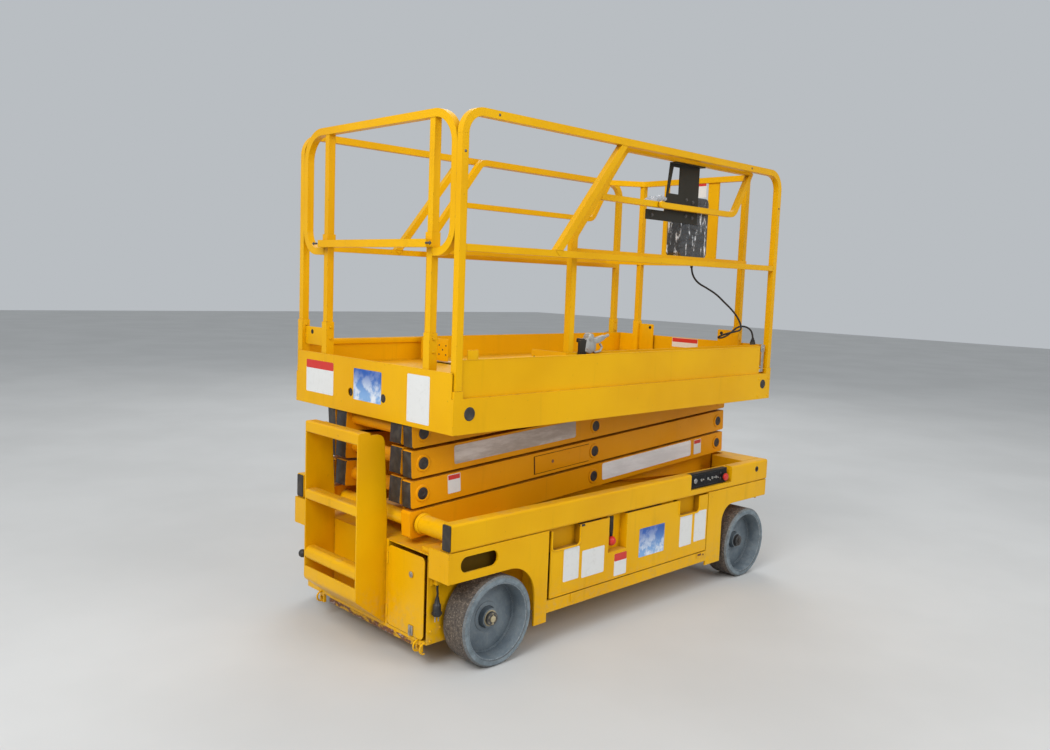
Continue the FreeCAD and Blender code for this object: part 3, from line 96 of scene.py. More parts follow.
class Shader:
    """A material's nodes, made and joined by short calls that return output sockets."""

    def __init__(self, name, **surface):
        self.material = bpy.data.materials.new(name)
        self.material.use_nodes = True
        self.tree = self.material.node_tree
        self.main = self.tree.nodes["Principled BSDF"]
        self.here = self.node("TexCoord", out="Object")
        for key, value in surface.items():
            self.set(self.main.inputs[key.replace("_", " ")], value)

    def set(self, socket, value):
        if isinstance(value, bpy.types.NodeSocket):
            self.tree.links.new(value, socket)
        elif hasattr(socket.default_value, "__len__") and len(socket.default_value) == 4:
            socket.default_value = (*value, 1)
        else:
            socket.default_value = value

    def node(self, kind, values={}, out=0, **settings):
        """An output of a new node, given its settings and what goes into its inputs."""
        node = self.tree.nodes.new("ShaderNode" + kind)
        for key, value in settings.items():
            setattr(node, key, value)
        for key, value in values.items():
            self.set(node.inputs[key], value)
        return node.outputs[out]

    def noise(self, scale, detail=4.0, rough=0.55, stretch=None):
        where = self.here
        if stretch is not None:
            where = self.node("Mapping", {"Scale": stretch, "Vector": where})
        return self.node("TexNoise", {"Vector": where, "Scale": scale, "Detail": detail, "Roughness": rough},
                         "Fac")

    def spread(self, value, low, high, to_low=0.0, to_high=1.0):
        ends = {"From Min": low, "From Max": high, "To Min": to_low, "To Max": to_high}
        return self.node("MapRange", {"Value": value, **ends}, "Result", interpolation_type="SMOOTHSTEP")

    def cloud(self, scale, detail, rough, low, high, to_low=0.0, to_high=1.0, stretch=None):
        """Patches of noise between two thresholds."""
        return self.spread(self.noise(scale, detail, rough, stretch), low, high, to_low, to_high)

    def calc(self, operation, first, second=0.0):
        return self.node("Math", {0: first, 1: second}, operation=operation)

    def both(self, first, second):
        return self.calc("MULTIPLY", first, second)

    def mix(self, factor, first, second):
        return self.node("Mix", {"Factor": factor, 6: first, 7: second}, 2, data_type="RGBA")

    def layers(self, base, *coats):
        """A colour under coats, which are (mask, colour) pairs."""
        for mask, colour in coats:
            base = self.mix(mask, base, colour)
        return base

    def part(self, vector, axis):
        return self.node("SeparateXYZ", {0: vector}, axis)

    def facing(self, axis):
        """How far the surface faces along an axis of the object."""
        return self.part(self.node("TexCoord", out="Normal"), axis)

    def edges(self, radius):
        """Rounded normals, and a mask that is white along sharp edges."""
        rounded = self.node("Bevel", {"Radius": radius}, samples=4)
        flat = self.node("NewGeometry", out="Normal")
        same = self.node("VectorMath", {0: rounded, 1: flat}, "Value", operation="DOT_PRODUCT")
        return rounded, self.calc("SUBTRACT", 1.0, same)

    def recess(self, reach, low, high, most):
        """A mask of places shut in by faces within reach, used to paint shade into them."""
        light = self.node("AmbientOcclusion", {"Distance": reach}, "AO", samples=4)
        return self.spread(light, low, high, most, 0.0)

    def bump(self, height, distance, strength=1.0, **normal):
        values = {"Distance": distance, "Strength": strength, "Height": height, **normal}
        self.set(self.main.inputs["Normal"], self.node("Bump", values))

    def finish(self, base, value, smooth, coarse):
        """The material with its colour, and a roughness that follows value from smooth to coarse."""
        rough = value if smooth is None else self.spread(value, 0.3, 0.7, smooth, coarse)
        self.set(self.main.inputs["Base Color"], base)
        self.set(self.main.inputs["Roughness"], rough)
        return self.material


DUST = (0.36, 0.29, 0.20)
GRIME = (0.060, 0.042, 0.028)
RUST = (0.16, 0.055, 0.018)


def tint(colour, share, lift=0.0):
    return tuple(share * c + lift for c in colour)


def dusted(colour, share, dust):
    return tuple(share * c + dust * d for c, d in zip(colour, DUST))


def paint(name, colour, wear=1.0, dirt=1.0, rough=0.36):
    """Sprayed steel: uneven colour, rounded edges with chips, dust on top, grime low down, and painted shade
    where faces close in.
    """
    shader = Shader(name, Specular_IOR_Level=0.32, Specular_Tint=(1.0, 0.82, 0.30))
    rounded, edge = shader.edges(0.0028)
    cloud, both = shader.cloud, shader.both
    top = shader.spread(shader.facing("Z"), 0.6, 0.98)
    low = shader.spread(shader.part(shader.here, "Z"), 0.06, 0.36, 1.0, 0.0)
    chips = both(shader.spread(edge, 0.03, 0.16), cloud(30.0, 5.0, 0.7, 0.56, 0.63, 0.0, wear))
    tone = cloud(1.7, 3.0, 0.55, 0.3, 0.7)
    streaks = cloud(9.0, 6.0, 0.6, 0.56, 0.74, 0.0, 0.28 * dirt, (1.0, 1.0, 0.18))
    dust = both(top, cloud(11.0, 7.0, 0.7, 0.44, 0.76, 0.04, 0.38 * dirt))
    splash = both(low, cloud(38.0, 9.0, 0.75, 0.44, 0.72, 0.0, 0.45 * dirt))
    # painted shade: darker paint where faces close in, broken up by noise
    corners = both(shader.recess(0.035, 0.20, 0.75, 0.75), cloud(20.0, 6.0, 0.65, 0.32, 0.66, 0.15, 0.85))
    runs = cloud(26.0, 5.0, 0.6, 0.60, 0.74, 0.0, 0.16 * dirt, (1.0, 1.0, 0.05))
    specks = cloud(70.0, 3.0, 0.6, 0.70, 0.76, 0.0, 0.55 * dirt)
    deep = tuple(c * k for c, k in zip(colour, (0.90, 0.84, 0.80)))
    base = shader.layers(
        deep, (tone, colour), (streaks, tint(colour, 0.62)), (dust, DUST), (splash, DUST),
        (corners, tint(colour, 0.22, 0.01)), (runs, tint(colour, 0.35, 0.01)), (specks, GRIME), (chips, RUST))
    gloss = cloud(5.0, 5.0, 0.6, 0.3, 0.7, rough - 0.07, rough + 0.14)
    shader.bump(shader.noise(240.0, 3.0, 0.5), 0.0004, 0.25, Normal=rounded)
    dull = both(shader.calc("MAXIMUM", chips, top), 0.55)
    return shader.finish(base, shader.calc("MAXIMUM", gloss, dull), None, None)


def rubber(name, colour, dusty):
    shader = Shader(name)
    grain = shader.noise(60.0, 6.0, 0.65)
    base = shader.layers(colour, (shader.cloud(8.0, 6.0, 0.6, 0.35, 0.68), tint(colour, 0.55)),
                         (shader.spread(grain, 0.45, 0.75, 0.0, dusty), DUST))
    shader.bump(grain, 0.0012, 0.5)
    return shader.finish(base, grain, 0.72, 0.95)


def tyre_rubber(name):
    """Solid tyre: a brown, stone-bitten tread between cleaner blue-grey flanks."""
    shader = Shader(name)
    flank = shader.spread(shader.calc("ABSOLUTE", shader.facing("Y")), 0.55, 0.85)
    grain = shader.noise(60.0, 7.0, 0.7)
    bits = shader.noise(150.0, 4.0, 0.6)
    tread = shader.layers((0.118, 0.094, 0.074), (shader.spread(grain, 0.36, 0.66), (0.060, 0.050, 0.044)),
                          (shader.spread(bits, 0.54, 0.66, 0.0, 0.8), (0.30, 0.25, 0.20)))
    side = shader.layers((0.215, 0.260, 0.285),
                         (shader.cloud(22.0, 7.0, 0.65, 0.34, 0.68), (0.125, 0.155, 0.175)),
                         (shader.spread(bits, 0.60, 0.72, 0.0, 0.5), (0.30, 0.33, 0.34)))
    shader.bump(shader.mix(0.5, grain, bits), 0.0022, 0.8)
    return shader.finish(shader.mix(flank, tread, side), grain, 0.70, 0.95)


def flaking(name):
    """A bent steel edge where the paint has flaked off down to rust and bare patches."""
    shader = Shader(name)
    broad = shader.noise(26.0, 7.0, 0.7, (1.0, 0.5, 1.0))
    fine = shader.noise(110.0, 5.0, 0.65)
    base = shader.layers((0.62, 0.33, 0.006), (shader.spread(broad, 0.44, 0.52), (0.150, 0.052, 0.026)),
                         (shader.spread(broad, 0.56, 0.62), (0.44, 0.34, 0.29)),
                         (shader.spread(fine, 0.54, 0.66, 0.0, 0.8), (0.070, 0.028, 0.016)))
    shader.bump(fine, 0.0018, 0.8)
    return shader.finish(base, fine, 0.55, 0.90)


def wheel_enamel(name):
    """Blue-grey enamel, dusty, with painted shade deep in the dish, scuffed pale along its edges."""
    shader = Shader(name)
    rounded, edge = shader.edges(0.003)
    broad = shader.noise(14.0, 7.0, 0.65)
    scuff = shader.both(shader.spread(edge, 0.02, 0.12), shader.cloud(70.0, 5.0, 0.7, 0.40, 0.60))
    base = shader.layers((0.125, 0.160, 0.190), (shader.spread(broad, 0.32, 0.70), (0.215, 0.255, 0.280)),
                         (shader.cloud(48.0, 8.0, 0.75, 0.46, 0.74, 0.0, 0.55), (0.31, 0.31, 0.29)),
                         (scuff, (0.42, 0.45, 0.46)),
                         (shader.cloud(90.0, 4.0, 0.6, 0.66, 0.74, 0.0, 0.7), (0.035, 0.038, 0.042)),
                         # painted shade: darker blue-grey where the dish closes in
                         (shader.recess(0.12, 0.25, 0.85, 0.85), (0.040, 0.055, 0.070)))
    shader.bump(shader.noise(160.0, 4.0, 0.6), 0.0006, 0.4, Normal=rounded)
    return shader.finish(base, broad, 0.42, 0.75)


def plastic(name, colour, rough=0.45):
    shader = Shader(name)
    spots = shader.noise(24.0, 5.0, 0.6)
    base = shader.layers(colour, (shader.spread(spots, 0.40, 0.72, 0.0, 0.5), dusted(colour, 0.75, 0.25)))
    shader.bump(shader.noise(320.0, 2.0), 0.0003, 0.3, Normal=shader.edges(0.0015)[0])
    return shader.finish(base, spots, rough, rough + 0.2)


def metal(name, colour, rough=0.35, stain=0.5):
    shader = Shader(name, Metallic=1.0)
    patch = shader.noise(18.0, 6.0, 0.65)
    base = shader.layers(colour, (shader.spread(patch, 0.50, 0.75, 0.0, stain), (0.10, 0.07, 0.05)))
    brushed = shader.noise(400.0, 2.0, 0.5, (1.0, 1.0, 0.08))
    shader.bump(brushed, 0.0002, 0.3, Normal=shader.edges(0.0015)[0])
    return shader.finish(base, patch, rough, rough + 0.3)


def vinyl(name, colour, worn=0.25, shine=0.45):
    """A sticker's film: slightly yellowed, scuffed and dusty."""
    shader = Shader(name, Specular_IOR_Level=shine)
    scuff = shader.cloud(45.0, 6.0, 0.7, 0.50, 0.72, 0.0, worn)
    base = shader.layers(colour, (scuff, dusted(colour, 0.55, 0.3)))
    return shader.finish(base, shader.noise(12.0), 0.32, 0.55)


def sky_print(name, low, top):
    """A generic picture between two heights: soft white clouds on blue."""
    shader = Shader(name)
    high = shader.spread(shader.part(shader.here, "Z"), low, top)
    thin = shader.calc("SUBTRACT", 1.0, shader.both(high, 0.85))
    puffs = shader.both(shader.cloud(15.0, 6.0, 0.62, 0.44, 0.60, 0.0, 0.95), thin)
    base = shader.layers((0.22, 0.42, 0.74), (high, (0.018, 0.095, 0.40)), (puffs, (0.80, 0.84, 0.88)))
    return shader.finish(base, shader.noise(20.0), 0.3, 0.5)


def worn_patch(name, thin, thick):
    """Pale primer brushed over old markings, thin where the brush ran dry."""
    shader = Shader(name)
    smear = shader.noise(7.0, 7.0, 0.7, (0.35, 1.0, 1.6))
    shader.bump(shader.noise(90.0, 5.0, 0.6, (0.2, 1.0, 1.0)), 0.0008, 0.5)
    return shader.finish(shader.mix(shader.spread(smear, 0.34, 0.66), thin, thick), smear, 0.5, 0.8)


def film(name):
    """Black stretch film wrapped round a box, full of small creases with painted sheen and painted white
    glints.
    """
    shader = Shader(name, Coat_Weight=0.8, Coat_Roughness=0.05)
    crease = shader.noise(30.0, 9.0, 0.66, (1.0, 1.0, 0.42))
    painted_glint = shader.both(shader.cloud(48.0, 5.0, 0.6, 0.55, 0.61, stretch=(1.0, 1.0, 0.25)),
                        shader.spread(crease, 0.46, 0.56))
    # painted highlights: grey sheen along the creases and white glints on them
    base = shader.layers((0.012, 0.013, 0.015),
                         (shader.spread(crease, 0.50, 0.72, 0.0, 0.5), (0.13, 0.14, 0.15)),
                         (painted_glint, (0.90, 0.92, 0.95)))
    shader.bump(crease, 0.016, 1.0)
    return shader.finish(base, crease, 0.10, 0.32)


YELLOW = (0.830, 0.438, 0.001)
ARM_YELLOW = (0.850, 0.350, 0.001)

# each look's maker and what it is given
MAKERS = {
    "yellow": (paint, YELLOW, 0.9, 0.6),
    "lower_yellow": (paint, YELLOW, 1.0, 1.0),
    "arm": (paint, ARM_YELLOW, 0.8, 0.9, 0.42),
    "wheel": (wheel_enamel,),
    "black_paint": (paint, (0.022, 0.022, 0.024), 0.6, 0.8, 0.45),
    "grey_paint": (paint, (0.30, 0.31, 0.30), 0.6, 0.8, 0.5),
    "tyre": (tyre_rubber,),
    "black_rubber": (rubber, (0.018, 0.017, 0.017), 0.10),
    "cap": (plastic, (0.020, 0.017, 0.017)),
    "black": (plastic, (0.015, 0.015, 0.016), 0.4),
    "red": (plastic, (0.62, 0.020, 0.012), 0.35),
    "steel": (metal, (0.50, 0.49, 0.47)),
    "dark_steel": (metal, (0.16, 0.155, 0.15), 0.4, 0.8),
    "chrome": (metal, (0.80, 0.80, 0.80), 0.08, 0.1),
    # the next three are darker yellows for painted shade: in slots and round the prop, on the grips' linings,
    # and on the grips' backs
    "shade": (paint, (0.085, 0.045, 0.002), 0.3, 0.6, 0.7),
    "lining": (paint, (0.42, 0.205, 0.002), 0.5, 0.8, 0.5),
    "pocket": (paint, (0.62, 0.300, 0.002), 0.5, 0.6, 0.6),
    "dark_vinyl": (vinyl, (0.010, 0.010, 0.011), 0.06, 0.12),
    "flaking": (flaking,),
    "white_vinyl": (vinyl, (0.74, 0.74, 0.72)),
    "red_vinyl": (vinyl, (0.62, 0.030, 0.022)),
    "black_vinyl": (vinyl, (0.03, 0.03, 0.035)),
    "sky_rear": (sky_print, 1.06, 1.18),
    "sky_side": (sky_print, 0.275, 0.415),
    "patch_rear": (worn_patch, (0.42, 0.35, 0.29), (0.74, 0.69, 0.64)),
    "patch_front": (worn_patch, (0.74, 0.73, 0.72), (0.93, 0.92, 0.91)),
    "film": (film,),
    "clear_film": (vinyl, (0.42, 0.45, 0.49), 0.5),
    "rust": (rubber, (0.30, 0.105, 0.040), 0.35),
    # near-black: painted shade filling holes and the lever's slot, and the black lever itself
    "void": (plastic, (0.008, 0.008, 0.008), 0.8),
    "aluminium": (metal, (0.62, 0.61, 0.59), 0.42, 0.35),
    "casting": (metal, (0.50, 0.50, 0.48), 0.55, 0.5),
    "brassy": (rubber, (0.56, 0.47, 0.29), 0.45),
    "deck": (paint, YELLOW, 1.3, 1.4, 0.5),
}
look = {name: make(name, *given) for name, (make, *given) in MAKERS.items()}

# CAD nodes by look; a name that ends in * stands for all that begin so
NODE_LOOKS = (
    ("yellow", "platform_deck guardrail_* extension_rails entry_bar extension_deck"),
    ("lower_yellow", "chassis_frame chassis_sills chassis_spine rear_housing rear_door ladder skirt_* "
                     "tray_*"),
    ("arm", "outer_arms_* inner_arms_* ram_mount"),
    ("wheel", "rim_*"),
    ("tyre", "tyre_*"),
    ("dark_steel", "rear_axles front_axle knuckle_* tie_rod"),
    ("cap", "rail_caps battery_pack"),
    ("black_paint", "ground_panel ram_barrel control_bracket"),
    ("grey_paint", "hydraulic_unit"),
    ("chrome", "ram_rod"),
    ("film", "control_box"),
    ("black", "control_socket"),
)


def dress_nodes():
    for key, names in NODE_LOOKS:
        for name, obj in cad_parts.items():
            if any(fnmatch(name, word) for word in names.split()):
                obj.data.materials.clear()
                obj.data.materials.append(look[key])


class Solid:
    """Shapes gathered in one mesh, which becomes a piece that rides on a body."""

    def __init__(self):
        self.mesh = bmesh.new()

    def block(self, one, other, bevel=0.0):
        """A box between two opposite corners."""
        low, high = (Vector(map(pick, one, other)) for pick in (min, max))
        made = bmesh.ops.create_cube(self.mesh, size=1.0)["verts"]
        for vert in made:
            vert.co = Vector(low[i] + (high[i] - low[i]) * (vert.co[i] + 0.5) for i in range(3))
        self.soften(made, bevel)
        return self

    def soften(self, verts, bevel):
        if bevel > 0:
            edges = list({edge for vert in verts for edge in vert.link_edges})
            bmesh.ops.bevel(self.mesh, geom=edges, offset=bevel, segments=2, profile=0.6,
                            affect="EDGES", clamp_overlap=True)

    def ring(self, middle, across, other, radius, sides):
        turns = (math.tau * i / sides for i in range(sides))
        return [self.mesh.verts.new(middle + radius * (across * math.cos(turn) + other * math.sin(turn)))
                for turn in turns]

    def skin(self, rings):
        """Faces between neighbouring rings, and one over each end."""
        for first, second in zip(rings, rings[1:]):
            for k in range(len(first)):
                j = (k + 1) % len(first)
                self.mesh.faces.new((first[k], first[j], second[j], second[k]))
        self.mesh.faces.new(rings[0])
        self.mesh.faces.new(rings[-1])
        return self

    def turned(self, start, reach, profile, sides=32, closed=False):
        """A lathe shape; profile is (share of the reach from start, radius) pairs.

        A closed profile is a loop, which leaves the middle open.
        """
        start, axis = Vector(start), Vector(reach)
        across = axis.orthogonal().normalized()
        other = axis.normalized().cross(across)
        rings = [self.ring(start + axis * share, across, other, radius, sides if radius > 0 else 1)
                 for share, radius in profile]
        if closed:
            rings.append(rings[0])
        for first, second in zip(rings, rings[1:]):
            for i in range(sides):
                quad = [first[i % len(first)], first[(i + 1) % len(first)],
                        second[(i + 1) % len(second)], second[i % len(second)]]
                corners = [v for k, v in enumerate(quad) if v not in quad[:k]]
                if len(corners) > 2:
                    self.mesh.faces.new(corners)
        for end_ring in () if closed else (rings[0], rings[-1]):
            if len(end_ring) > 2:
                self.mesh.faces.new(end_ring)
        return self

    def rod(self, start, end, radius, sides=24, bevel=0.0):
        reach = Vector(end) - Vector(start)
        share = bevel / reach.length
        profile = ((0, radius - bevel), (share, radius), (1 - share, radius), (1, radius - bevel))
        return self.turned(start, reach, profile if bevel > 0 else ((0, radius), (1, radius)), sides)

    def move(self, matrix):
        bmesh.ops.transform(self.mesh, matrix=matrix, verts=self.mesh.verts)
        return self

    def add(self, other):
        """Takes up another solid's shapes."""
        data = bpy.data.meshes.new("part")
        other.mesh.to_mesh(data)
        other.mesh.free()
        self.mesh.from_mesh(data)
        bpy.data.meshes.remove(data)

    def bolt(self, place, axis, radius=0.0055, head=0.003):
        """A hexagon head on its washer, standing on a face along the signed axis."""
        place, axis, washer = Vector(place), Vector(axis), 0.0015
        self.turned(place, axis * washer, ((0, radius * 1.35), (0.7, radius * 1.35), (1, radius * 1.25)), 16)
        return self.turned(place + axis * washer, axis * head,
                           ((0, radius), (0.75, radius), (1, radius * 0.82)), 6)

    def weld(self, points, radius=0.0022, closed=False):
        """A welded seam: a lumpy bead along straight runs between the points."""
        points = [Vector(p) for p in points] + ([Vector(points[0])] if closed else [])
        for start, end in zip(points, points[1:]):
            steps = max(2, int((end - start).length / 0.005))
            axis = (end - start).normalized()
            across = axis.orthogonal().normalized()
            sizes = (radius * (1.15 if i % 2 else 0.85) * dice.uniform(0.85, 1.15) for i in range(steps + 1))
            self.skin([self.ring(start.lerp(end, i / steps), across, axis.cross(across), size, 6)
                       for i, size in enumerate(sizes)])
        return self

    def collar(self, middle, axis, half_u, half_v=None, radius=0.0022):
        """A welded seam round a box section across axis 0, 1 or 2."""
        corners = []
        for u, v in ((-1, -1), (1, -1), (1, 1), (-1, 1)):
            shift = [u * half_u, v * (half_v or half_u)]
            shift.insert(axis, 0.0)
            corners.append(Vector(middle) + Vector(shift))
        return self.weld(corners, radius, True)

    def prism(self, outline, axis, start, thick, bevel=0.0):
        """An outline in the plane across axis 0, 1 or 2, made thick along it."""
        def row(depth):
            places = [[*pair[:axis], depth, *pair[axis:]] for pair in outline]
            return [self.mesh.verts.new(place) for place in places]
        low, high = row(start), row(start + thick)
        self.skin([low, high])
        self.soften(low + high, bevel)
        return self

    def pipe(self, points, radius, sides=12):
        """A round bar along a chain of points, with flat mitred ends."""
        points = [Vector(p) for p in points]
        side = (points[1] - points[0]).normalized().orthogonal().normalized()
        rings = []
        for i, point in enumerate(points):
            before, after = points[max(i - 1, 0)], points[min(i + 1, len(points) - 1)]
            along = (after - before).normalized()
            side = (side - along * side.dot(along)).normalized()
            rings.append(self.ring(point, side, along.cross(side), radius, sides))
        return self.skin(rings)

    def piece(self, name, material, body, slot=None, sharp=32.0):
        bmesh.ops.recalc_face_normals(self.mesh, faces=self.mesh.faces)
        data = bpy.data.meshes.new(name)
        self.mesh.to_mesh(data)
        self.mesh.free()
        data.materials.append(look[material])
        data.shade_smooth()
        data.set_sharp_from_angle(angle=math.radians(sharp))
        obj = bpy.data.objects.new(name, data)
        scene.collection.objects.link(obj)
        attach(obj, body)
        return obj

    def arm_piece(self, name, material, kind, level):
        """A piece drawn in the frame of an arm pair, which is outer or inner."""
        self.move(arm_frame(level, kind == "outer"))
        return self.piece("%s_%d" % (name, level), material, "%s_arms_%d" % (kind, level))


def hand(body, *rows):
    """Makes the pieces of one body, each from its solid, name and look."""
    for solid, name, kind in rows:
        solid.piece(name, kind, body)


def round_corners(x0, z0, x1, z1, radius, steps=3):
    """The outline of a rectangle with rounded corners."""
    (x0, x1), (z0, z1) = sorted((x0, x1)), sorted((z0, z1))
    outline = []
    for cx, cz, turn in ((x1 - radius, z1 - radius, 0), (x0 + radius, z1 - radius, 1),
                         (x0 + radius, z0 + radius, 2), (x1 - radius, z0 + radius, 3)):
        for i in range(steps + 1):
            angle = math.pi / 2 * (turn + i / steps)
            outline.append((cx + radius * math.cos(angle), cz + radius * math.sin(angle)))
    return outline


def circle(x, y, z, radius):
    """Points of a seam round a tube that runs along Y."""
    turns = (math.tau * i / 20 for i in range(20))
    return [(x + radius * math.cos(turn), y, z + radius * math.sin(turn)) for turn in turns]


def make_stage():
    data = bpy.data.meshes.new("floor")
    size = 30.0
    data.from_pydata([(-size, -size, 0), (size, -size, 0), (size, size, 0), (-size, size, 0)], [],
                     [(0, 1, 2, 3)])
    floor = bpy.data.objects.new("floor", data)
    shader = Shader("studio_floor", Roughness=0.85)
    tone = shader.cloud(0.8, 4.0, 0.55, 0.3, 0.7)
    shader.set(shader.main.inputs["Base Color"], shader.mix(tone, (0.56, 0.56, 0.55), (0.60, 0.60, 0.59)))
    data.materials.append(shader.material)
    scene.collection.objects.link(floor)


def make_light():
    world = bpy.data.worlds.new("studio")
    world.use_nodes = True
    back = world.node_tree.nodes["Background"]
    back.inputs["Color"].default_value = (0.90, 0.95, 1.0, 1)
    back.inputs["Strength"].default_value = 0.54
    scene.world = world
    scene.view_settings.view_transform = "Standard"
    aim = Vector((0, 0, 1.0))
    for name, place, power in (("key", (-6.5, -2.0, 6.0), 450.0), ("fill", (1.0, -7.0, 5.0), 190.0),
                               ("back", (5.0, 5.0, 6.5), 215.0)):
        data = bpy.data.lights.new(name, "AREA")
        data.shape = "DISK"
        data.size = 5.0
        data.energy = power
        lamp = bpy.data.objects.new(name, data)
        lamp.location = place
        lamp.rotation_euler = (aim - Vector(place)).to_track_quat("-Z", "Y").to_euler()
        scene.collection.objects.link(lamp)


def flat(name, kind, body, axis, start, thick, corners, radius=0.006, steps=3, place=Matrix()):
    """A flat plate with rounded corners, across axis 0 or 1."""
    outline = round_corners(*corners, radius, steps)
    Solid().prism(outline, axis, start, thick).move(place).piece(name, kind, body)


# name's end, look, two opposite corners
REAR_LABELS = (
    ("left", "white_vinyl", (0.492, 1.046, 0.262, 1.195)),
    ("left_head", "red_vinyl", (0.492, 1.157, 0.262, 1.195)),
    ("middle", "sky_rear", (0.099, 1.052, -0.108, 1.189)),
    ("right", "white_vinyl", (-0.288, 1.008, -0.435, 1.204)),
)
TRAY_LABELS = (
    ("a", "white_vinyl", (-0.434, 0.418, -0.332, 0.268)),
    ("b", "white_vinyl", (-0.312, 0.389, -0.158, 0.262)),
    ("c", "white_vinyl", (-0.082, 0.330, 0.008, 0.222)),
    ("c_head", "red_vinyl", (-0.082, 0.330, 0.008, 0.29328)),
    ("d", "sky_side", (0.100, 0.420, 0.300, 0.277)),
    ("e", "white_vinyl", (0.430, 0.432, 0.534, 0.268)),
    ("f", "white_vinyl", (0.556, 0.434, 0.660, 0.274)),
)
# name's end, look, level of the arm, how far out it starts, corners in the arm's frame, their rounding
ARM_LABELS = (
    ("patch_rear", "patch_rear", 3, 0.0007, (0.167, -0.034, 0.930, 0.047), 0.010, 3),
    ("patch_front", "patch_front", 1, 0.0007, (1.142, -0.034, 1.898, 0.052), 0.010, 3),
    ("sticker_rear", "white_vinyl", 2, 0.0007, (0.136, -0.031, 0.206, 0.051), 0.004, 3),
    ("sticker_rear_head", "red_vinyl", 2, 0.0010, (0.139, 0.02804, 0.203, 0.048), 0.002, 2),
    ("sticker_front", "white_vinyl", 1, 0.0007, (1.928, -0.035, 1.996, 0.047), 0.004, 3),
    ("sticker_front_head", "red_vinyl", 1, 0.0010, (1.931, 0.02404, 1.993, 0.044), 0.002, 2),
)
# name, look, start ahead of the front posts' middle, thickness, corners, their rounding
FRONT_LABELS = (
    ("label_extension_front", "white_vinyl", 0.0164, 0.0004, (-0.087, 1.228, 0.101, 1.284), 0.004),
    ("label_extension_front_head", "red_vinyl", 0.0161, 0.0004, (-0.085, 1.258, 0.099, 1.282), 0.004),
    ("label_extension_front_low", "white_vinyl", 0.0164, 0.0004, (-0.335, 1.205, -0.235, 1.262), 0.004),
    ("nose_plate", "white_vinyl", -0.0126, 0.0016, (-0.107, 2.120, -0.028, 2.215), 0.004),
    ("nose_plate_head", "red_vinyl", -0.0130, 0.0006, (-0.105, 2.186, -0.030, 2.213), 0.003),
)


def make_labels():
    proud = {"red_vinyl": 0.0006}
    for name, kind, corners in REAR_LABELS:
        start = REAR_X - proud.get(kind, 0.0004)
        flat("label_rear_" + name, kind, "platform", 0, start, 0.0003, corners)
    for name, kind, corners in TRAY_LABELS:
        start = -SKIRT_Y - proud.get(kind, 0.0004)
        flat("label_tray_" + name, kind, "tray_right", 1, start, 0.0003, corners)
    for name, kind, level, out, corners, radius, steps in ARM_LABELS:
        flat("arm_" + name, kind, "outer_arms_%d" % level, 1, -ARM_Y - out, 0.0006, corners, radius, steps,
             arm_frame(level, True))
    for name, kind, ahead, thick, corners, radius in FRONT_LABELS:
        flat(name, kind, "extension", 0, POST_FRONT + ahead, thick, corners, radius)


def arm_frame(level, rising):
    """The frame of one arm pair: X along it from the rear pin, Z square to it."""
    z = PIN_Z + (level - 1 if rising else level) * PITCH
    turn = Matrix.Rotation(-TILT if rising else TILT, 4, "Y")
    return Matrix.Translation((PIN_X, 0, z)) @ turn


def make_arm_pins():
    """Round bosses with dark pin heads on the outer arms' outer faces."""
    for level in LEVELS:
        proud = 0.0012 if level == 4 else 0.0045
        bosses, heads = Solid(), Solid()
        for side in BOTH:
            for along in [ARM / 2] + [0.0] * (level > 1) + [ARM] * (level < 4):
                face = (along, side * ARM_Y, 0)
                bosses.turned(face, side * proud * Y, (
                    (0, 0.037), (0.6, 0.036), (1, 0.0335), (1, 0.0265), (0.35, 0.0260)), 40)
                heads.turned(face, side * proud * 0.8 * Y, (
                    (0, 0.0258), (0.75, 0.0258), (1, 0.0235), (1, 0.0100), (0.55, 0.0090)), 32)
        bosses.arm_piece("arm_bosses", "arm", "outer", level)
        heads.arm_piece("arm_pin_heads", "cap", "outer", level)


def make_arm_plugs():
    """Black plugs in the open ends of the arms' box sections."""
    for level in LEVELS:
        for kind, low, high in (("outer", 0.2565, 0.3135), ("inner", 0.1665, 0.2435)):
            tucked_end = {"inner": 0.0, "outer": ARM}[kind] if level == 4 else None
            plugs = Solid()
            for side in BOTH:
                for end, sign in ((0.0, -1), (ARM, 1)):
                    over, half = (0.051, 0.021) if end == tucked_end else (0.060, 0.0545)
                    if (kind, level, end) == ("outer", 1, 0.0):
                        continue
                    plugs.block((end + sign * (over - 0.002), side * low, -half),
                                (end + sign * (over + 0.0014), side * high, half), 0.0012)
                    plugs.block((end + sign * over, side * (low + 0.012), -half + 0.014),
                                (end + sign * (over + 0.0024), side * (high - 0.012), half - 0.014), 0.001)
            plugs.arm_piece("arm_plugs_" + kind, "cap", kind, level)


def make_prop():
    """The service prop folded along the second stage, with its hole and rusty end, and a dark strip round it
    as painted shadow.
    """
    start, end, face = 0.655, ARM / 2 - 0.045, -ARM_Y
    prop, hole, shadow_strip = Solid(), Solid(), Solid()
    prop.prism(round_corners(start, -0.040, end, 0.042, 0.004), 1, face - 0.0040, 0.0038, 0.001)
    prop.weld([(end, face - 0.001, -0.038), (end, face - 0.001, 0.040)])
    hole.turned((start + 0.118, face - 0.0044, 0.002), 0.0008 * Y, ((0, 0.0085), (1, 0.0085)), 20)
    hole.block((start - 0.0012, face - 0.0038, -0.034), (start + 0.0022, face - 0.0004, 0.036))
    # painted shadow: a dark strip just proud of the arm, round the prop's edges
    shadow_strip.block((start - 0.004, face - 0.0010, -0.0430), (end + 0.002, face + 0.001, 0.0438))
    for solid, name, kind in ((shadow_strip, "_gap", "shade"), (prop, "", "arm"), (hole, "_hole", "rust")):
        solid.move(arm_frame(2, True)).piece("service_prop" + name, kind, "outer_arms_2", "arm_paint")


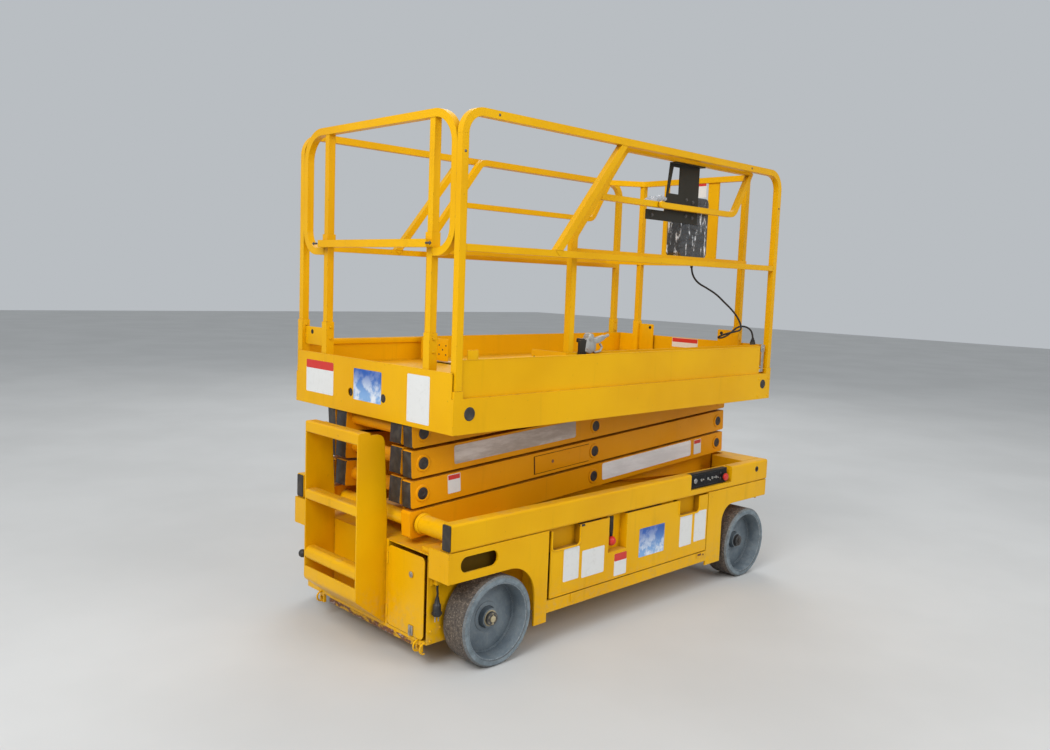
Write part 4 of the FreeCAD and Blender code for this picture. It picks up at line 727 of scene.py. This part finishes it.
def make_arm_welds():
    """Seams where the cross tubes meet the inner arms."""
    for level in LEVELS:
        seams = Solid()
        for along, up in ((0.250, 0.0), (ARM - 0.215, 0.030 if level == 2 else 0.0)):
            for side in BOTH:
                seams.weld(circle(along, side * 0.1642, up, 0.0255), 0.0032, True)
        seams.arm_piece("arm_welds", "arm", "inner", level)


def make_rear_tubes():
    """Cross tubes on the inner arms' rear pins, and collars on the chassis's pivot tubes."""
    for level in LEVELS:
        tube, seams = Solid(), Solid()
        tube.turned(-0.1645 * Y, 0.329 * Y, (
            (0.024, 0.0), (0.024, 0.0215), (0, 0.0215), (0, 0.030), (1, 0.030), (1, 0.0215), (0.976, 0.0215),
            (0.976, 0.0)), 36)
        for y in (-0.1640, 0.1640):
            seams.weld(circle(0, y, 0, 0.0305), 0.0026, True)
        tube.arm_piece("arm_rear_tube", "arm", "inner", level)
        seams.arm_piece("arm_rear_seam", "arm", "inner", level)
    collars = Solid()
    for side in BOTH:
        for y0, y1 in ((0.3215, 0.3400), (0.5090, 0.5240)):
            collars.turned((PIN_X, side * y0, PIN_Z), side * (y1 - y0) * Y, (
                (0, 0.0415), (0.12, 0.0445), (0.85, 0.0445), (1, 0.0410)), 40)
    collars.piece("pivot_collars", "lower_yellow", "chassis")


# from and to how far out, profile, sides
RIM_RINGS = (
    (0.5975, 0.5993, ((0, 0.1645), (0.5, 0.1645), (1, 0.1625), (1, 0.1590), (0, 0.1575)), 72),
    (0.5220, 0.5300, ((0, 0.1470), (0.4, 0.1490), (1, 0.1500), (1, 0.1510), (0, 0.1510)), 64),
    (0.5218, 0.5262, ((0, 0.0640), (0.4, 0.0630), (1, 0.0560), (1, 0.0470), (0, 0.0460)), 48),
)
NUT_RINGS = (
    (0.5484, 0.5498, ((0, 0.0345), (0.7, 0.0345), (1, 0.0330)), 32),
    (0.5498, 0.5600, ((0, 0.0260), (0.8, 0.0260), (1, 0.0235)), 6),
    (0.5600, 0.5690, ((0, 0.0135), (0.85, 0.0135), (1, 0.0110)), 20),
)


def make_wheels():
    """Raised lips and seams of the wheels, castle nuts and their split pins."""
    for name, side, x, body, nut_look in (
            ("rear_right", RIGHT, -0.831, "chassis", "brassy"),
            ("rear_left", LEFT, -0.831, "chassis", "brassy"),
            ("front_right", RIGHT, 1.030, "knuckle_right", "cap"),
            ("front_left", LEFT, 1.030, "knuckle_left", "cap")):
        def at(y, dx=0.0, dz=0.0):
            return Vector((x + dx, side * y, HUB_Z + dz))
        rim, nut = Solid(), Solid()
        for solid, rings, closed in ((rim, RIM_RINGS, True), (nut, NUT_RINGS, False)):
            for y0, y1, profile, sides in rings:
                solid.turned(at(y0), side * (y1 - y0) * Y, profile, sides, closed)
        for i in range(6):
            tooth = Solid().block((0.0140, side * 0.560 - 0.0035, -0.0052),
                                  (0.0235, side * 0.560 + 0.0055, 0.0052), 0.001)
            turn = Matrix.Rotation(math.tau * (i + 0.5) / 6, 4, "Y")
            nut.add(tooth.move(Matrix.Translation(at(0)) @ turn))
        nut.rod(at(0.5665, 0, -0.020), at(0.5665, 0, 0.019), 0.0016, 8)
        nut.rod(at(0.5680, 0.003, -0.021), at(0.5665, -0.007, -0.018), 0.0015, 8)
        rim.piece("wheel_trim_" + name, "wheel", "wheel_" + name)
        nut.piece("wheel_nut_" + name, nut_look, body, "steel")


def make_fascia():
    """Plugs, bolts, beads and folded lips of the platform's sides."""
    for word, side in SIDES:
        plugs, bolts, seam, lip = Solid(), Solid(), Solid(), Solid()
        y, toe, edge = side * FASCIA_Y, side * (TOE_Y + 0.0008), side * (TOE_Y - 0.002)
        for x, z, radius in ((-1.011, 1.069, 0.0275), (1.140, 1.072, 0.0250)):
            plugs.turned((x, y - side * 0.001, z), side * 0.0036 * Y, (
                (0, radius), (0.55, radius), (1, radius * 0.93), (1, radius * 0.68),
                (0.72, radius * 0.62)), 36)
        for x, z in ((1.100, 1.102), (1.194, 1.103), (1.096, 1.007), (1.196, 1.007)):
            bolts.turned((x, y, z), side * 0.0032 * Y, ((0, 0.0070), (0.5, 0.0066), (1, 0.0040)), 14)
        for i in range(15):
            x = -1.06 + 0.155 * i
            seam.weld([(x, toe, 1.1308), (x + dice.uniform(0.030, 0.050), toe, 1.1308)], 0.0016)
        lip.rod((POST_REAR + 0.018, edge, 1.279), (1.112, edge, 1.279), 0.0030, 10)
        lip.block((POST_REAR + 0.022, side * 0.5590, 1.2530),
                  (POST_FRONT - 0.022, side * 0.5672, 1.2792), 0.003)
        hand("platform", (plugs, "fascia_plugs_" + word, "cap"), (bolts, "fascia_bolts_" + word, "yellow"),
             (seam, "fascia_seam_" + word, "yellow"), (lip, "toe_lip_" + word, "yellow"))
    plugs, lip = Solid(), Solid()
    for y in (-0.124, 0.112):
        plugs.turned((REAR_X + 0.0032, y, 1.080), -0.0028 * X, (
            (0, 0.0180), (0.6, 0.0180), (1, 0.0165), (1, 0.0120), (0.6, 0.0110)), 28)
    plugs.piece("fascia_plugs_rear", "cap", "platform")
    lip.rod((REAR_X + 0.002, -TOE_Y, 1.229), (REAR_X + 0.002, TOE_Y, 1.229), 0.0026, 10)
    lip.piece("toe_lip_rear", "yellow", "platform")


def make_rail_welds():
    """Seams where the guardrails' tubes meet, and their small screws."""
    for word, side in SIDES:
        y = side * POST_Y
        seams, screws = Solid(), Solid()
        for z in (1.7275, 2.2095):
            seams.collar((-0.546 + 0.418 * (z - MIDDLE_Z) / 0.513, y, z), 2, 0.0205, POST)
        for x in (POST_REAR + POST, POST_FRONT - POST):
            seams.collar((x, y, MIDDLE_Z), 0, RAIL)
        for x, z in ((-0.901, 2.226), (POST_REAR, 2.070), (0.90, 2.226), (POST_FRONT, 2.04)):
            screws.turned((x, y + side * 0.016, z), side * 0.0014 * Y,
                          ((0, 0.0055), (0.6, 0.0055), (1, 0.0040)), 14)
        seams.piece("rail_welds_" + word, "yellow", "platform")
        screws.piece("rail_screws_" + word, "dark_steel", "platform")
    seams = Solid()
    for y, side in GATES:
        seams.collar((POST_REAR, y, 2.2098), 2, POST)
        seams.collar((POST_REAR, y + side * POST, 1.694), 1, POST)
        seams.collar((POST_REAR, y, 1.3752), 2, 0.0165, radius=0.0016)
    seams.piece("gate_welds", "yellow", "platform")


def sleeve(solid, x, y, low, high, faces=((-1, 0), (1, 0), (0, -1), (0, 1))):
    """Plates on the faces of an upright post."""
    for dx, dy in faces:
        cx, cy = x + dx * 0.0182, y + dy * 0.0182
        wx, wy = (0.00175, 0.020) if dx else (0.020, 0.00175)
        solid.block((cx - wx, cy - wy, low), (cx + wx, cy + wy, high), 0.0008)


def lug(solid, holes, x, corners, hole_y, hole_z, radius):
    """An upright plate across X, and a black disc in its hole as painted shade."""
    solid.prism(round_corners(*corners, 0.008, 4), 0, x - 0.003, 0.006, 0.0008)
    holes.turned((x - 0.0034, hole_y, hole_z), 0.0068 * X, ((0, radius), (1, radius)), 24)


def make_sleeves():
    """Post sleeves with their cross bolts, and the lug plates beside them."""
    sleeves, bolts, plate, hole = Solid(), Solid(), Solid(), Solid()
    for x in (POST_REAR, POST_FRONT):
        sleeve(sleeves, x, POST_Y, PLATFORM[0].z + 0.172, 1.375)
    for z in SLEEVE_BOLTS_Z:
        for y in (POST_Y, 0.355, -0.398):
            for sign in (-1, 1):
                bolts.bolt((POST_REAR, y + sign * 0.0202, z), (0, sign, 0), head=0.0045)
        bolts.bolt((POST_FRONT, POST_Y - 0.0202, z), (0, -1, 0), head=0.0045)
    lug(plate, hole, POST_REAR, (0.3755, 1.262, 0.5445, 1.345), 0.484, 1.322, 0.011)
    hand("platform", (sleeves, "post_sleeves", "yellow"), (bolts, "sleeve_bolts", "yellow"),
         (plate, "rear_lug", "yellow"), (hole, "rear_lug_hole", "void"))
    fore, holes = Solid(), Solid()
    for side in BOTH:
        y = side * FRONT_POST_Y
        sleeve(fore, POST_FRONT, y, 1.172, 1.372, ((-1, 0), (0, -1), (0, 1)))
        lug(fore, holes, POST_FRONT, (side * 0.236, 1.172, side * 0.3455, 1.355), side * 0.262, 1.334, 0.010)
        for z in (1.350, 1.300):
            fore.bolt((POST_FRONT, y + side * 0.0202, z), (0, side, 0), head=0.0045)
    fore.piece("front_sleeves", "yellow", "extension")
    holes.piece("front_lug_holes", "void", "extension")


def make_extension_trim():
    """Seams of the extension's rails, its rear plates and their holes, wear strip and tab."""
    seams, plates, holes = Solid(), Solid(), Solid()
    foot_x, run, low, high, rail_z, half = -0.372, 0.328, 1.799, 2.218, 1.983, 0.0164
    rise = high - low
    meet_x = foot_x + run * (rail_z - low) / rise + 0.0150 / math.sin(math.atan2(rise, run)) + 0.004
    for side in BOTH:
        y, post_y = side * 0.500, side * FRONT_POST_Y
        seams.collar((meet_x, y, rail_z), 0, RAIL)
        seams.collar((foot_x + 0.0165, y, 1.733), 0, 0.0132)
        seams.collar((foot_x, y, 1.1735), 2, half)
        seams.collar((POST_FRONT, post_y, FRONT_RAILS_Z[1]), 2, half)
        seams.collar((POST_FRONT, post_y, 1.7470), 2, half, radius=0.0018)
    for z in FRONT_RAILS_Z:
        seams.collar((POST_FRONT, 0.185, z), 2, THIN, radius=0.0018)
    for z in FRONT_RAILS_Z:
        seams.weld([(POST_FRONT - 0.005, -0.190, z), (POST_FRONT - 0.005, -0.115, z)], 0.0018)
    rear_x = EXTENSION[0].x
    for side in BOTH:
        plates.prism(round_corners(side * 0.300, 1.1715, side * 0.5165, 1.286, 0.006), 0, rear_x + 0.0005,
                     0.004, 0.0006)
        for y, z in ((0.318, 1.252), (0.372, 1.252), (0.345, 1.230), (0.318, 1.205), (0.372, 1.205),
                     (0.426, 1.252), (0.426, 1.205)):
            # black discs in the plates' holes: painted shade
            holes.turned((rear_x + 0.0002, side * y, z), 0.0028 * X, ((0, 0.0048), (1, 0.0048)), 12)
    strip = Solid().block((rear_x - 0.0005, -0.500, 1.1660), (rear_x + 0.026, 0.500, 1.1722), 0.001)
    tab = Solid().block((POST_FRONT - 0.0112, -0.120, 2.206), (POST_FRONT - 0.0070, -0.024, 2.222), 0.001)
    hand("extension", (seams, "extension_welds", "yellow"), (plates, "extension_rear_plates", "yellow"),
         (holes, "extension_plate_holes", "void"), (strip, "extension_wear_strip", "aluminium"),
         (tab, "nose_plate_tab", "yellow"))


def make_latch():
    """The extension's latch: a grey casting on a dark bracket on the right toe board."""
    cast, hold = Solid(), Solid()
    hold.block((-0.335, -0.5350, 1.2650), (-0.288, -0.5225, 1.3420), 0.002)
    hold.block((-0.322, -0.5330, 1.3300), (-0.300, -0.5000, 1.3480), 0.003)
    cast.prism([(-0.300, 1.290), (-0.262, 1.279), (-0.226, 1.296), (-0.226, 1.330), (-0.252, 1.352),
                (-0.290, 1.350)], 1, -0.5370, 0.030, 0.005)
    cast.turned((-0.262, -0.540, 1.352), 0.038 * Y, ((0, 0.013), (0.1, 0.019), (0.9, 0.019), (1, 0.013)), 24)
    cast.turned((-0.262, -0.5415, 1.352), 0.003 * Y, ((0, 0.0075), (1, 0.0075)), 6)
    cast.prism([(-0.232, 1.322), (-0.196, 1.326), (-0.163, 1.340), (-0.152, 1.352), (-0.160, 1.362),
                (-0.186, 1.356), (-0.214, 1.346), (-0.236, 1.346)], 1, -0.5300, 0.018, 0.004)
    cast.pipe([(-0.250, -0.520, 1.300), (-0.222, -0.526, 1.284), (-0.190, -0.528, 1.288),
               (-0.176, -0.526, 1.306), (-0.186, -0.522, 1.322)], 0.0055, 12)
    cast.rod((-0.284, -0.5395, 1.306), (-0.284, -0.5060, 1.306), 0.0080, 16, 0.002)
    cast.rod((-0.158, -0.5215, 1.352), (-0.128, -0.5215, 1.361), 0.0070, 14, 0.002)
    cast.piece("extension_latch", "casting", "extension")
    hold.piece("extension_latch_bracket", "black_paint", "extension")


def make_treads():
    """Raised bars of the chequer plate, slanting left and right by turns."""
    pitch, half, width, crest_half = 0.034, 0.0125, 0.0028, 0.006
    for name, body, x0, x1, z, bands in (
            ("deck_tread", "platform", PLATFORM[0].x + 0.040, PLATFORM[1].x - 0.040, 1.1600,
             ((-0.425, 0.425), (-0.555, -0.490), (0.490, 0.555))),
            ("extension_tread", "extension", EXTENSION[0].x + 0.045, EXTENSION[1].x - 0.030, 1.1710,
             ((-0.470, 0.470),))):
        solid = Solid()
        spots = [(x0 + pitch * (i + 0.5), low + pitch * (j + 0.5), 45 if (i + j) % 2 else -45)
                 for low, high in bands
                 for i in range(int((x1 - x0) / pitch)) for j in range(int((high - low) / pitch))]
        for x, y, slant in spots:
            ux, uy = math.cos(math.radians(slant)), math.sin(math.radians(slant))
            a, b, c, d = [solid.mesh.verts.new((x + ux * u - uy * v, y + uy * u + ux * v, z - 0.0002))
                          for u, v in ((half, 0.0), (0.0, width), (-half, 0.0), (0.0, -width))]
            fore, rear = [solid.mesh.verts.new((x + ux * u, y + uy * u, z + 0.0011))
                          for u in (crest_half, -crest_half)]
            for face in ((a, b, fore), (b, c, rear, fore), (c, d, rear), (d, a, fore, rear)):
                solid.mesh.faces.new(face)
        solid.piece(name, "deck", body, sharp=60.0)


def make_entry_bar_trim():
    bolts, pins = Solid(), Solid()
    for y, side in GATES:
        x = POST_REAR - 0.0515
        pins.rod((x, y + side * 0.020, 1.7260), (x, y + side * 0.052, 1.7260), 0.0045, 12, 0.001)
        pins.rod((x, y + side * 0.046, 1.7180), (x, y + side * 0.046, 1.7340), 0.0022, 8)
        bolts.bolt((POST_REAR - 0.0347, y - side * 0.060, 1.7265), (-1, 0, 0), 0.0060)
    pins.piece("entry_bar_pins", "dark_steel", "entry_bar")
    bolts.piece("entry_bar_bolts", "yellow", "entry_bar")


def make_housing_trim():
    """Lock, latch, hooks, screws, knob and the hanging plug at the machine's rear."""
    x = REAR_X
    lock, latch, screws, hooks, knob = Solid(), Solid(), Solid(), Solid(), Solid()
    lock.turned((x - 0.0080, -0.354, 0.382), -0.0025 * X, ((0, 0.0125), (0.6, 0.0125), (1, 0.0105)), 28)
    lock.block((x - 0.0122, -0.3565, 0.374), (x - 0.0100, -0.3515, 0.390), 0.0006)
    lock.piece("door_lock", "steel", "rear_door")
    latch.block((x - 0.0110, -0.374, 0.128), (x - 0.0045, -0.346, 0.168), 0.002)
    latch.rod((x - 0.0135, -0.360, 0.126), (x - 0.0135, -0.360, 0.166), 0.0042, 12, 0.001)
    latch.piece("door_latch", "steel", "rear_door")
    for screw_x, z in ((-1.024, 0.171), (-1.076, 0.163), (-1.075, 0.121)):
        screws.bolt((screw_x, -0.456, z), (0, -1, 0), 0.0060)
    for y in (0.331, -0.404, -0.448):
        turns = [math.pi * i / 10 for i in range(11)]
        arc = [(x - 0.006 - 0.020 * math.sin(turn), y, 0.096 + 0.022 * math.cos(turn)) for turn in turns]
        hooks.pipe([(x - 0.002, y, arc[0][2])] + arc + [(x - 0.002, y, arc[-1][2])], 0.0042, 10)
    lip = Solid().block((x - 0.0016, -0.374, 0.0848), (x - 0.0004, 0.264, 0.1060), 0.0004)
    knob.rod((x - 0.0002, 0.385, 0.300), (x - 0.060, 0.385, 0.300), 0.0060, 14)
    knob.turned((x - 0.056, 0.385, 0.300), -0.036 * X, (
        (0, 0.010), (0.15, 0.0165), (0.4, 0.0190), (0.65, 0.0185), (0.88, 0.0125), (1, 0.004)), 28)
    clamp, wire, plug, prongs = Solid(), Solid(), Solid(), Solid()
    px, py = -1.058, -0.474
    clamp.block((px - 0.024, -0.4600, 0.358), (px + 0.022, -0.4562, 0.394), 0.001)
    clamp.block((px - 0.012, py - 0.010, 0.362), (px + 0.012, -0.4595, 0.384), 0.003)
    clamp.bolt((px - 0.017, -0.4600, 0.384), (0, -1, 0), 0.0045)
    wire.pipe([(px, py, 0.366), (px - 0.001, py, 0.345), (px + 0.001, py - 0.001, 0.325), (px, py, 0.300)],
              0.0045, 12)
    plug.turned((px, py, 0.312), -0.080 * Z, (
        (0, 0.0062), (0.16, 0.0090), (0.34, 0.0120), (0.42, 0.0165), (0.95, 0.0180), (1, 0.0155)), 28)
    plug.block((px - 0.019, py - 0.012, 0.236), (px + 0.019, py + 0.012, 0.250), 0.003)
    for shift in (-0.0085, 0.0085):
        prongs.rod((px + shift, py, 0.235), (px + shift, py, 0.208), 0.0028, 12, 0.001)
    hand("chassis", (hooks, "tie_hooks", "lower_yellow"), (lip, "lip_rust", "flaking"),
         (knob, "release_knob", "black"), (clamp, "charger_clamp", "lower_yellow"),
         (wire, "charger_lead", "black_rubber"), (plug, "charger_plug", "black"),
         (prongs, "charger_prongs", "steel"), (screws, "housing_screws", "lower_yellow"))


def make_ladder_trim():
    """Beads round the steps' ends, and the steps' raised grip."""
    x0, x1 = -1.2450, -1.1850
    inner, outer = x0 + 0.020, x1 + 0.0004
    seams, grip = Solid(), Solid()
    for z0, z1 in ((0.326, 0.384), (0.600, 0.645), (0.900, 0.950)):
        for y in (-0.1622, 0.2322):
            seams.weld([(inner, y, z1 - 0.0005), (x1 - 0.014, y, z1 - 0.0005), (outer, y, z1 - 0.018),
                        (outer, y, z0 + 0.018), (x1 - 0.014, y, z0 + 0.0005), (inner, y, z0 + 0.0005)])
        for i in range(3):
            for j in range(36):
                x, y = x0 + 0.018 + 0.012 * i, -0.150 + 0.0105 * j
                grip.block((x, y, z1 - 0.0004), (x + 0.006, y + 0.006, z1 + 0.0009))
    seams.piece("ladder_welds", "lower_yellow", "chassis")
    grip.piece("ladder_grip", "lower_yellow", "chassis")


def make_tray_trim():
    """Lined grips with folded lips, hems, latches, the brake lever and the sill's tabs."""
    top, thick = 0.5135, 0.003
    for word, side in SIDES:
        y = side * SKIRT_Y
        backs, lining, lips, latch, tabs, rusty = (Solid() for _ in range(6))
        for x0, x1, low in ((-0.513, -0.330, 0.422), (0.416, 0.593, 0.430)):
            y0, y1 = side * 0.548, side * 0.5778
            a, b, c = x0 - thick, x1 + thick, low - thick
            # the backs and linings take darker yellow looks: painted shade inside the grips
            backs.block((a, y0 - side * 0.002, c), (b, y0, top))
            lining.block((a, y0, c), (b, y1, low - 0.0005))
            lining.block((a, y0, low), (x0 - 0.0005, y1, top))
            lining.block((x1 + 0.0005, y0, low), (b, y1, top))
            face, bend = y + side * 0.0002, 0.022
            rim = [(x0, face, top)]
            for cx, turn in ((x0 + bend, 0), (x1 - bend, 1)):
                angles = [math.pi / 2 * (turn + i / 6) for i in range(7)]
                rim += [(cx - bend * math.cos(a), face, low + bend - bend * math.sin(a)) for a in angles]
            lips.pipe(rim + [(x1, face, top)], 0.0042, 10)
        lips.rod((-0.515, y + side * 0.0004, 0.2135), (0.668, y + side * 0.0004, 0.2135), 0.0026, 10)
        latch.block((-0.334, y - side * 0.004, 0.5040), (-0.302, y + side * 0.0022, 0.5136), 0.001)
        tabs.block((-0.381, y, 0.168), (-0.357, y + side * 0.0036, 0.2065), 0.001)
        tabs.block((0.588, y, 0.178), (0.660, y + side * 0.0036, 0.2050), 0.001)
        y0, y1 = sorted((y + side * 0.0030, y + side * 0.0046))
        rusty.block((0.596, y0, 0.190), (0.628, y1, 0.2015), 0.0006)
        rusty.rod((0.645, y0, 0.192), (0.645, y1 + side * 0.003, 0.192), 0.0050, 14)
        hand("tray_" + word, (backs, "tray_grip_backs_" + word, "pocket"),
             (lining, "tray_grips_" + word, "lining"), (lips, "tray_lips_" + word, "lower_yellow"),
             (latch, "tray_latch_" + word, "black"))
        tabs.piece("sill_tabs_" + word, "lower_yellow", "chassis")
        rusty.piece("sill_latch_" + word, "rust", "chassis", "steel")
    slot, lever, ball = Solid(), Solid(), Solid()
    # a black plate in the lever's slot: painted shade
    slot.block((-0.1255, -0.5420, 0.3500), (-0.0960, -0.5402, 0.5120))
    lever.prism([(-0.108, 0.5120), (-0.083, 0.5120), (-0.082, 0.455), (-0.085, 0.408), (-0.098, 0.408),
                 (-0.105, 0.455)], 1, -0.5690, 0.007, 0.0015)
    angles = [math.pi * i / 12 for i in range(13)]
    ball.turned((-0.091, -0.566, 0.4165), -0.047 * Z,
                [((1 - math.cos(angle)) / 2, 0.0235 * math.sin(angle)) for angle in angles], 28)
    hand("tray_right", (slot, "lever_slot", "void"), (lever, "lever_stick", "void"),
         (ball, "lever_ball", "red"))


def make_panel_trim():
    """Switches, breakers and the red stop button of the ground panel, and the rails' grommets."""
    y, middle, line_half = -0.572, 0.594, 0.0006
    plate, dark, bright, red, line, grommets = (Solid() for _ in range(6))
    plate.prism(round_corners(0.518, 0.559, 0.846, 0.629, 0.004), 1, y - 0.0012, 0.0012)
    for x0, x1 in ((0.524, 0.640), (0.648, 0.768)):
        corners = [(x0, 0.564), (x1, 0.564), (x1, 0.624), (x0, 0.624)]
        for (xa, za), (xb, zb) in zip(corners, corners[1:] + corners[:1]):
            line.block((min(xa, xb) - line_half, y - 0.0017, min(za, zb) - line_half),
                       (max(xa, xb) + line_half, y - 0.0011, max(za, zb) + line_half))
    bright.turned((0.560, y - 0.0010, middle), -0.005 * Y, (
        (0, 0.0135), (0.5, 0.0135), (1, 0.0115), (1, 0.0075), (0.7, 0.0070)), 28)
    dark.block((0.5588, y - 0.0058, 0.588), (0.5612, y - 0.0030, 0.600))
    for x, lean in ((0.612, 0.006), (0.672, -0.006), (0.710, 0.006), (0.746, 0.0)):
        bright.turned((x, y - 0.0010, middle), -0.004 * Y, ((0, 0.0080), (1, 0.0080)), 6)
        bright.turned((x, y - 0.0040, middle), (0, -0.014, lean),
                      ((0, 0.0022), (0.85, 0.0034), (1, 0.0020)), 12)
    for x, z in ((0.786, 0.610), (0.786, 0.582)):
        dark.turned((x, y - 0.0010, z), -0.006 * Y, ((0, 0.0075), (0.7, 0.0070), (1, 0.0045)), 18)
    red.turned((0.822, -0.5722, 0.586), -0.0203 * Y, (
        (0, 0.0120), (0.35, 0.0125), (0.40, 0.0190), (0.75, 0.0200), (0.95, 0.0175), (1, 0.0100)), 32)
    for side in BOTH:
        grommets.turned((1.135, side * (SKIRT_Y - 0.004), 0.591), side * 0.0054 * Y, (
            (0, 0.0118), (0, 0.0090), (1, 0.0090), (1, 0.0150), (0.75, 0.0155), (0.75, 0.0118)), 28, True)
    hand("chassis", (plate, "panel_face", "dark_vinyl"), (line, "panel_lines", "black_vinyl"),
         (dark, "panel_breakers", "black"), (bright, "panel_switches", "steel"),
         (red, "panel_stop_button", "red"), (grommets, "rail_grommets", "cap"))


def make_side_trim():
    """Dark plates behind the rear skirts' slots as painted shade, the steel strips in front and the small toe
    plate.
    """
    for word, side in SIDES:
        shade = Solid().block((-1.052, side * 0.5420, 0.412), (-0.806, side * 0.5440, 0.512))
        shade.piece("skirt_slot_" + word, "shade", "chassis", "black_plastic")
        y0, y1 = side * (TOE_Y + 0.0002), side * (TOE_Y + 0.0026)
        strip = Solid().block((1.120, y0, 1.250), (1.156, y1, 1.290), 0.001)
        strip.block((1.128, y0, 1.140), (1.150, y1, 1.252), 0.001)
        strip.bolt((1.139, y1, 1.272), (0, side, 0)).piece("front_strip_" + word, "steel", "platform")
    plate = Solid().block((-1.018, -0.5700, 1.2794), (-0.962, -0.5664, 1.318), 0.001)
    plate.weld([(-1.018, -0.5706, 1.2806), (-0.962, -0.5706, 1.2806)], 0.0016)
    plate.piece("toe_plate", "yellow", "platform")


def make_control_trim():
    """Bolts, knob and crumpled wrapping round the control box's bracket."""
    bolts, knob, wrap, folds = Solid(), Solid(), Solid(), Solid()
    for x, z in ((0.490, 2.030), (0.545, 2.022), (0.490, 1.950), (0.545, 1.944), (0.215, 1.936)):
        bolts.bolt((x, -0.4700, z), (0, -1, 0), 0.0070, 0.0040)
    knob.turned((0.215, -0.5135, 1.983), -0.0195 * Y, (
        (0, 0.0070), (0.25, 0.0080), (0.30, 0.0165), (0.80, 0.0175), (1, 0.0140)), 9)
    rings, steps, sides = [], 22, 12
    for i in range(steps):
        share = i / (steps - 1)
        swell = 0.010 + 0.012 * math.sin(math.pi * min(1.0, share * 1.05)) ** 0.6
        ring = []
        for k in range(sides):
            angle = math.tau * k / sides
            size = swell * dice.uniform(0.65, 1.30)
            ring.append(wrap.mesh.verts.new((0.150 + 0.170 * share + dice.uniform(-0.002, 0.002),
                                             -0.4680 + 0.9 * size * math.cos(angle),
                                             1.990 + 0.030 * share + size * math.sin(angle))))
        rings.append(ring)
    wrap.skin(rings)
    for i in range(9):
        z = 1.790 + 0.0285 * i + dice.uniform(-0.006, 0.006)
        lift = dice.uniform(0.012, 0.030)
        folds.weld([(0.468, -0.4643, z), (0.545, -0.4648, z + lift), (0.610, -0.4646, z + 0.3 * lift),
                    (0.690, -0.4643, z + lift * dice.uniform(0.6, 1.3))], 0.0012)
    bolts.piece("bracket_bolts", "dark_steel", "extension")
    knob.piece("bracket_knob", "yellow", "extension")
    wrap.piece("loose_wrapping", "clear_film", "extension", sharp=20.0)
    folds.piece("film_folds", "film", "extension")


# the control cable's route, in metres, from the gland round its loose loop to the socket
CABLE = (
    (0.628, -0.425, 1.721), (0.628, -0.425, 1.690), (0.645, -0.426, 1.650), (0.690, -0.429, 1.616),
    (0.765, -0.434, 1.592), (0.850, -0.441, 1.560), (0.920, -0.447, 1.518), (0.984, -0.447, 1.486),
    (1.032, -0.459, 1.445), (1.038, -0.484, 1.401), (1.007, -0.508, 1.370), (0.957, -0.513, 1.364),
    (0.919, -0.482, 1.352), (0.915, -0.435, 1.334), (0.947, -0.398, 1.320), (1.001, -0.393, 1.318),
    (1.051, -0.402, 1.336), (1.096, -0.432, 1.387), (1.137, -0.468, 1.384), (1.162, -0.490, 1.348),
    (1.162, -0.490, 1.300),
)


def make_cable():
    """The control cable, with its ribbed strain relief at the box and its boot at the socket."""
    data = bpy.data.curves.new("control_cable", "CURVE")
    data.dimensions = "3D"
    data.bevel_depth = 0.005
    data.bevel_resolution = 3
    data.resolution_u = 10
    data.use_fill_caps = True
    line = data.splines.new("NURBS")
    line.points.add(len(CABLE) - 1)
    for point, place in zip(line.points, CABLE):
        point.co = (*place, 1)
    line.order_u = 3
    line.use_endpoint_u = True
    data.materials.append(look["black_rubber"])
    cable = bpy.data.objects.new("control_cable", data)
    scene.collection.objects.link(cable)
    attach(cable, "extension")
    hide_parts("control_cord")
    ribs = [(0, 0.0098), (0.08, 0.0098)]
    for i in range(5):
        share, radius = 0.12 + 0.17 * i, 0.0095 - 0.0006 * i
        ribs += [(share, radius - 0.0012), (share + 0.04, radius - 0.0012), (share + 0.05, radius),
                 (share + 0.13, radius)]
    ribs += [(0.98, 0.0063), (1, 0.0053)]
    relief = Solid().turned(CABLE[0], -0.028 * Z, ribs, 24)
    boot = Solid().turned(CABLE[-1], 0.024 * Z, ((0, 0.0125), (0.3, 0.0120), (0.6, 0.0085), (1, 0.0054)), 24)
    relief = relief.piece("cable_relief", "black_rubber", "extension")
    boot = boot.piece("cable_boot", "black_rubber", "extension")


for make in (make_camera, make_cable, make_stage, make_light, dress_nodes, make_labels, make_arm_pins,
             make_arm_plugs, make_prop, make_arm_welds, make_rear_tubes, make_wheels, make_fascia,
             make_rail_welds, make_sleeves, make_extension_trim, make_latch, make_treads,
             make_entry_bar_trim, make_housing_trim, make_ladder_trim, make_tray_trim, make_panel_trim,
             make_side_trim, make_control_trim):
    make()
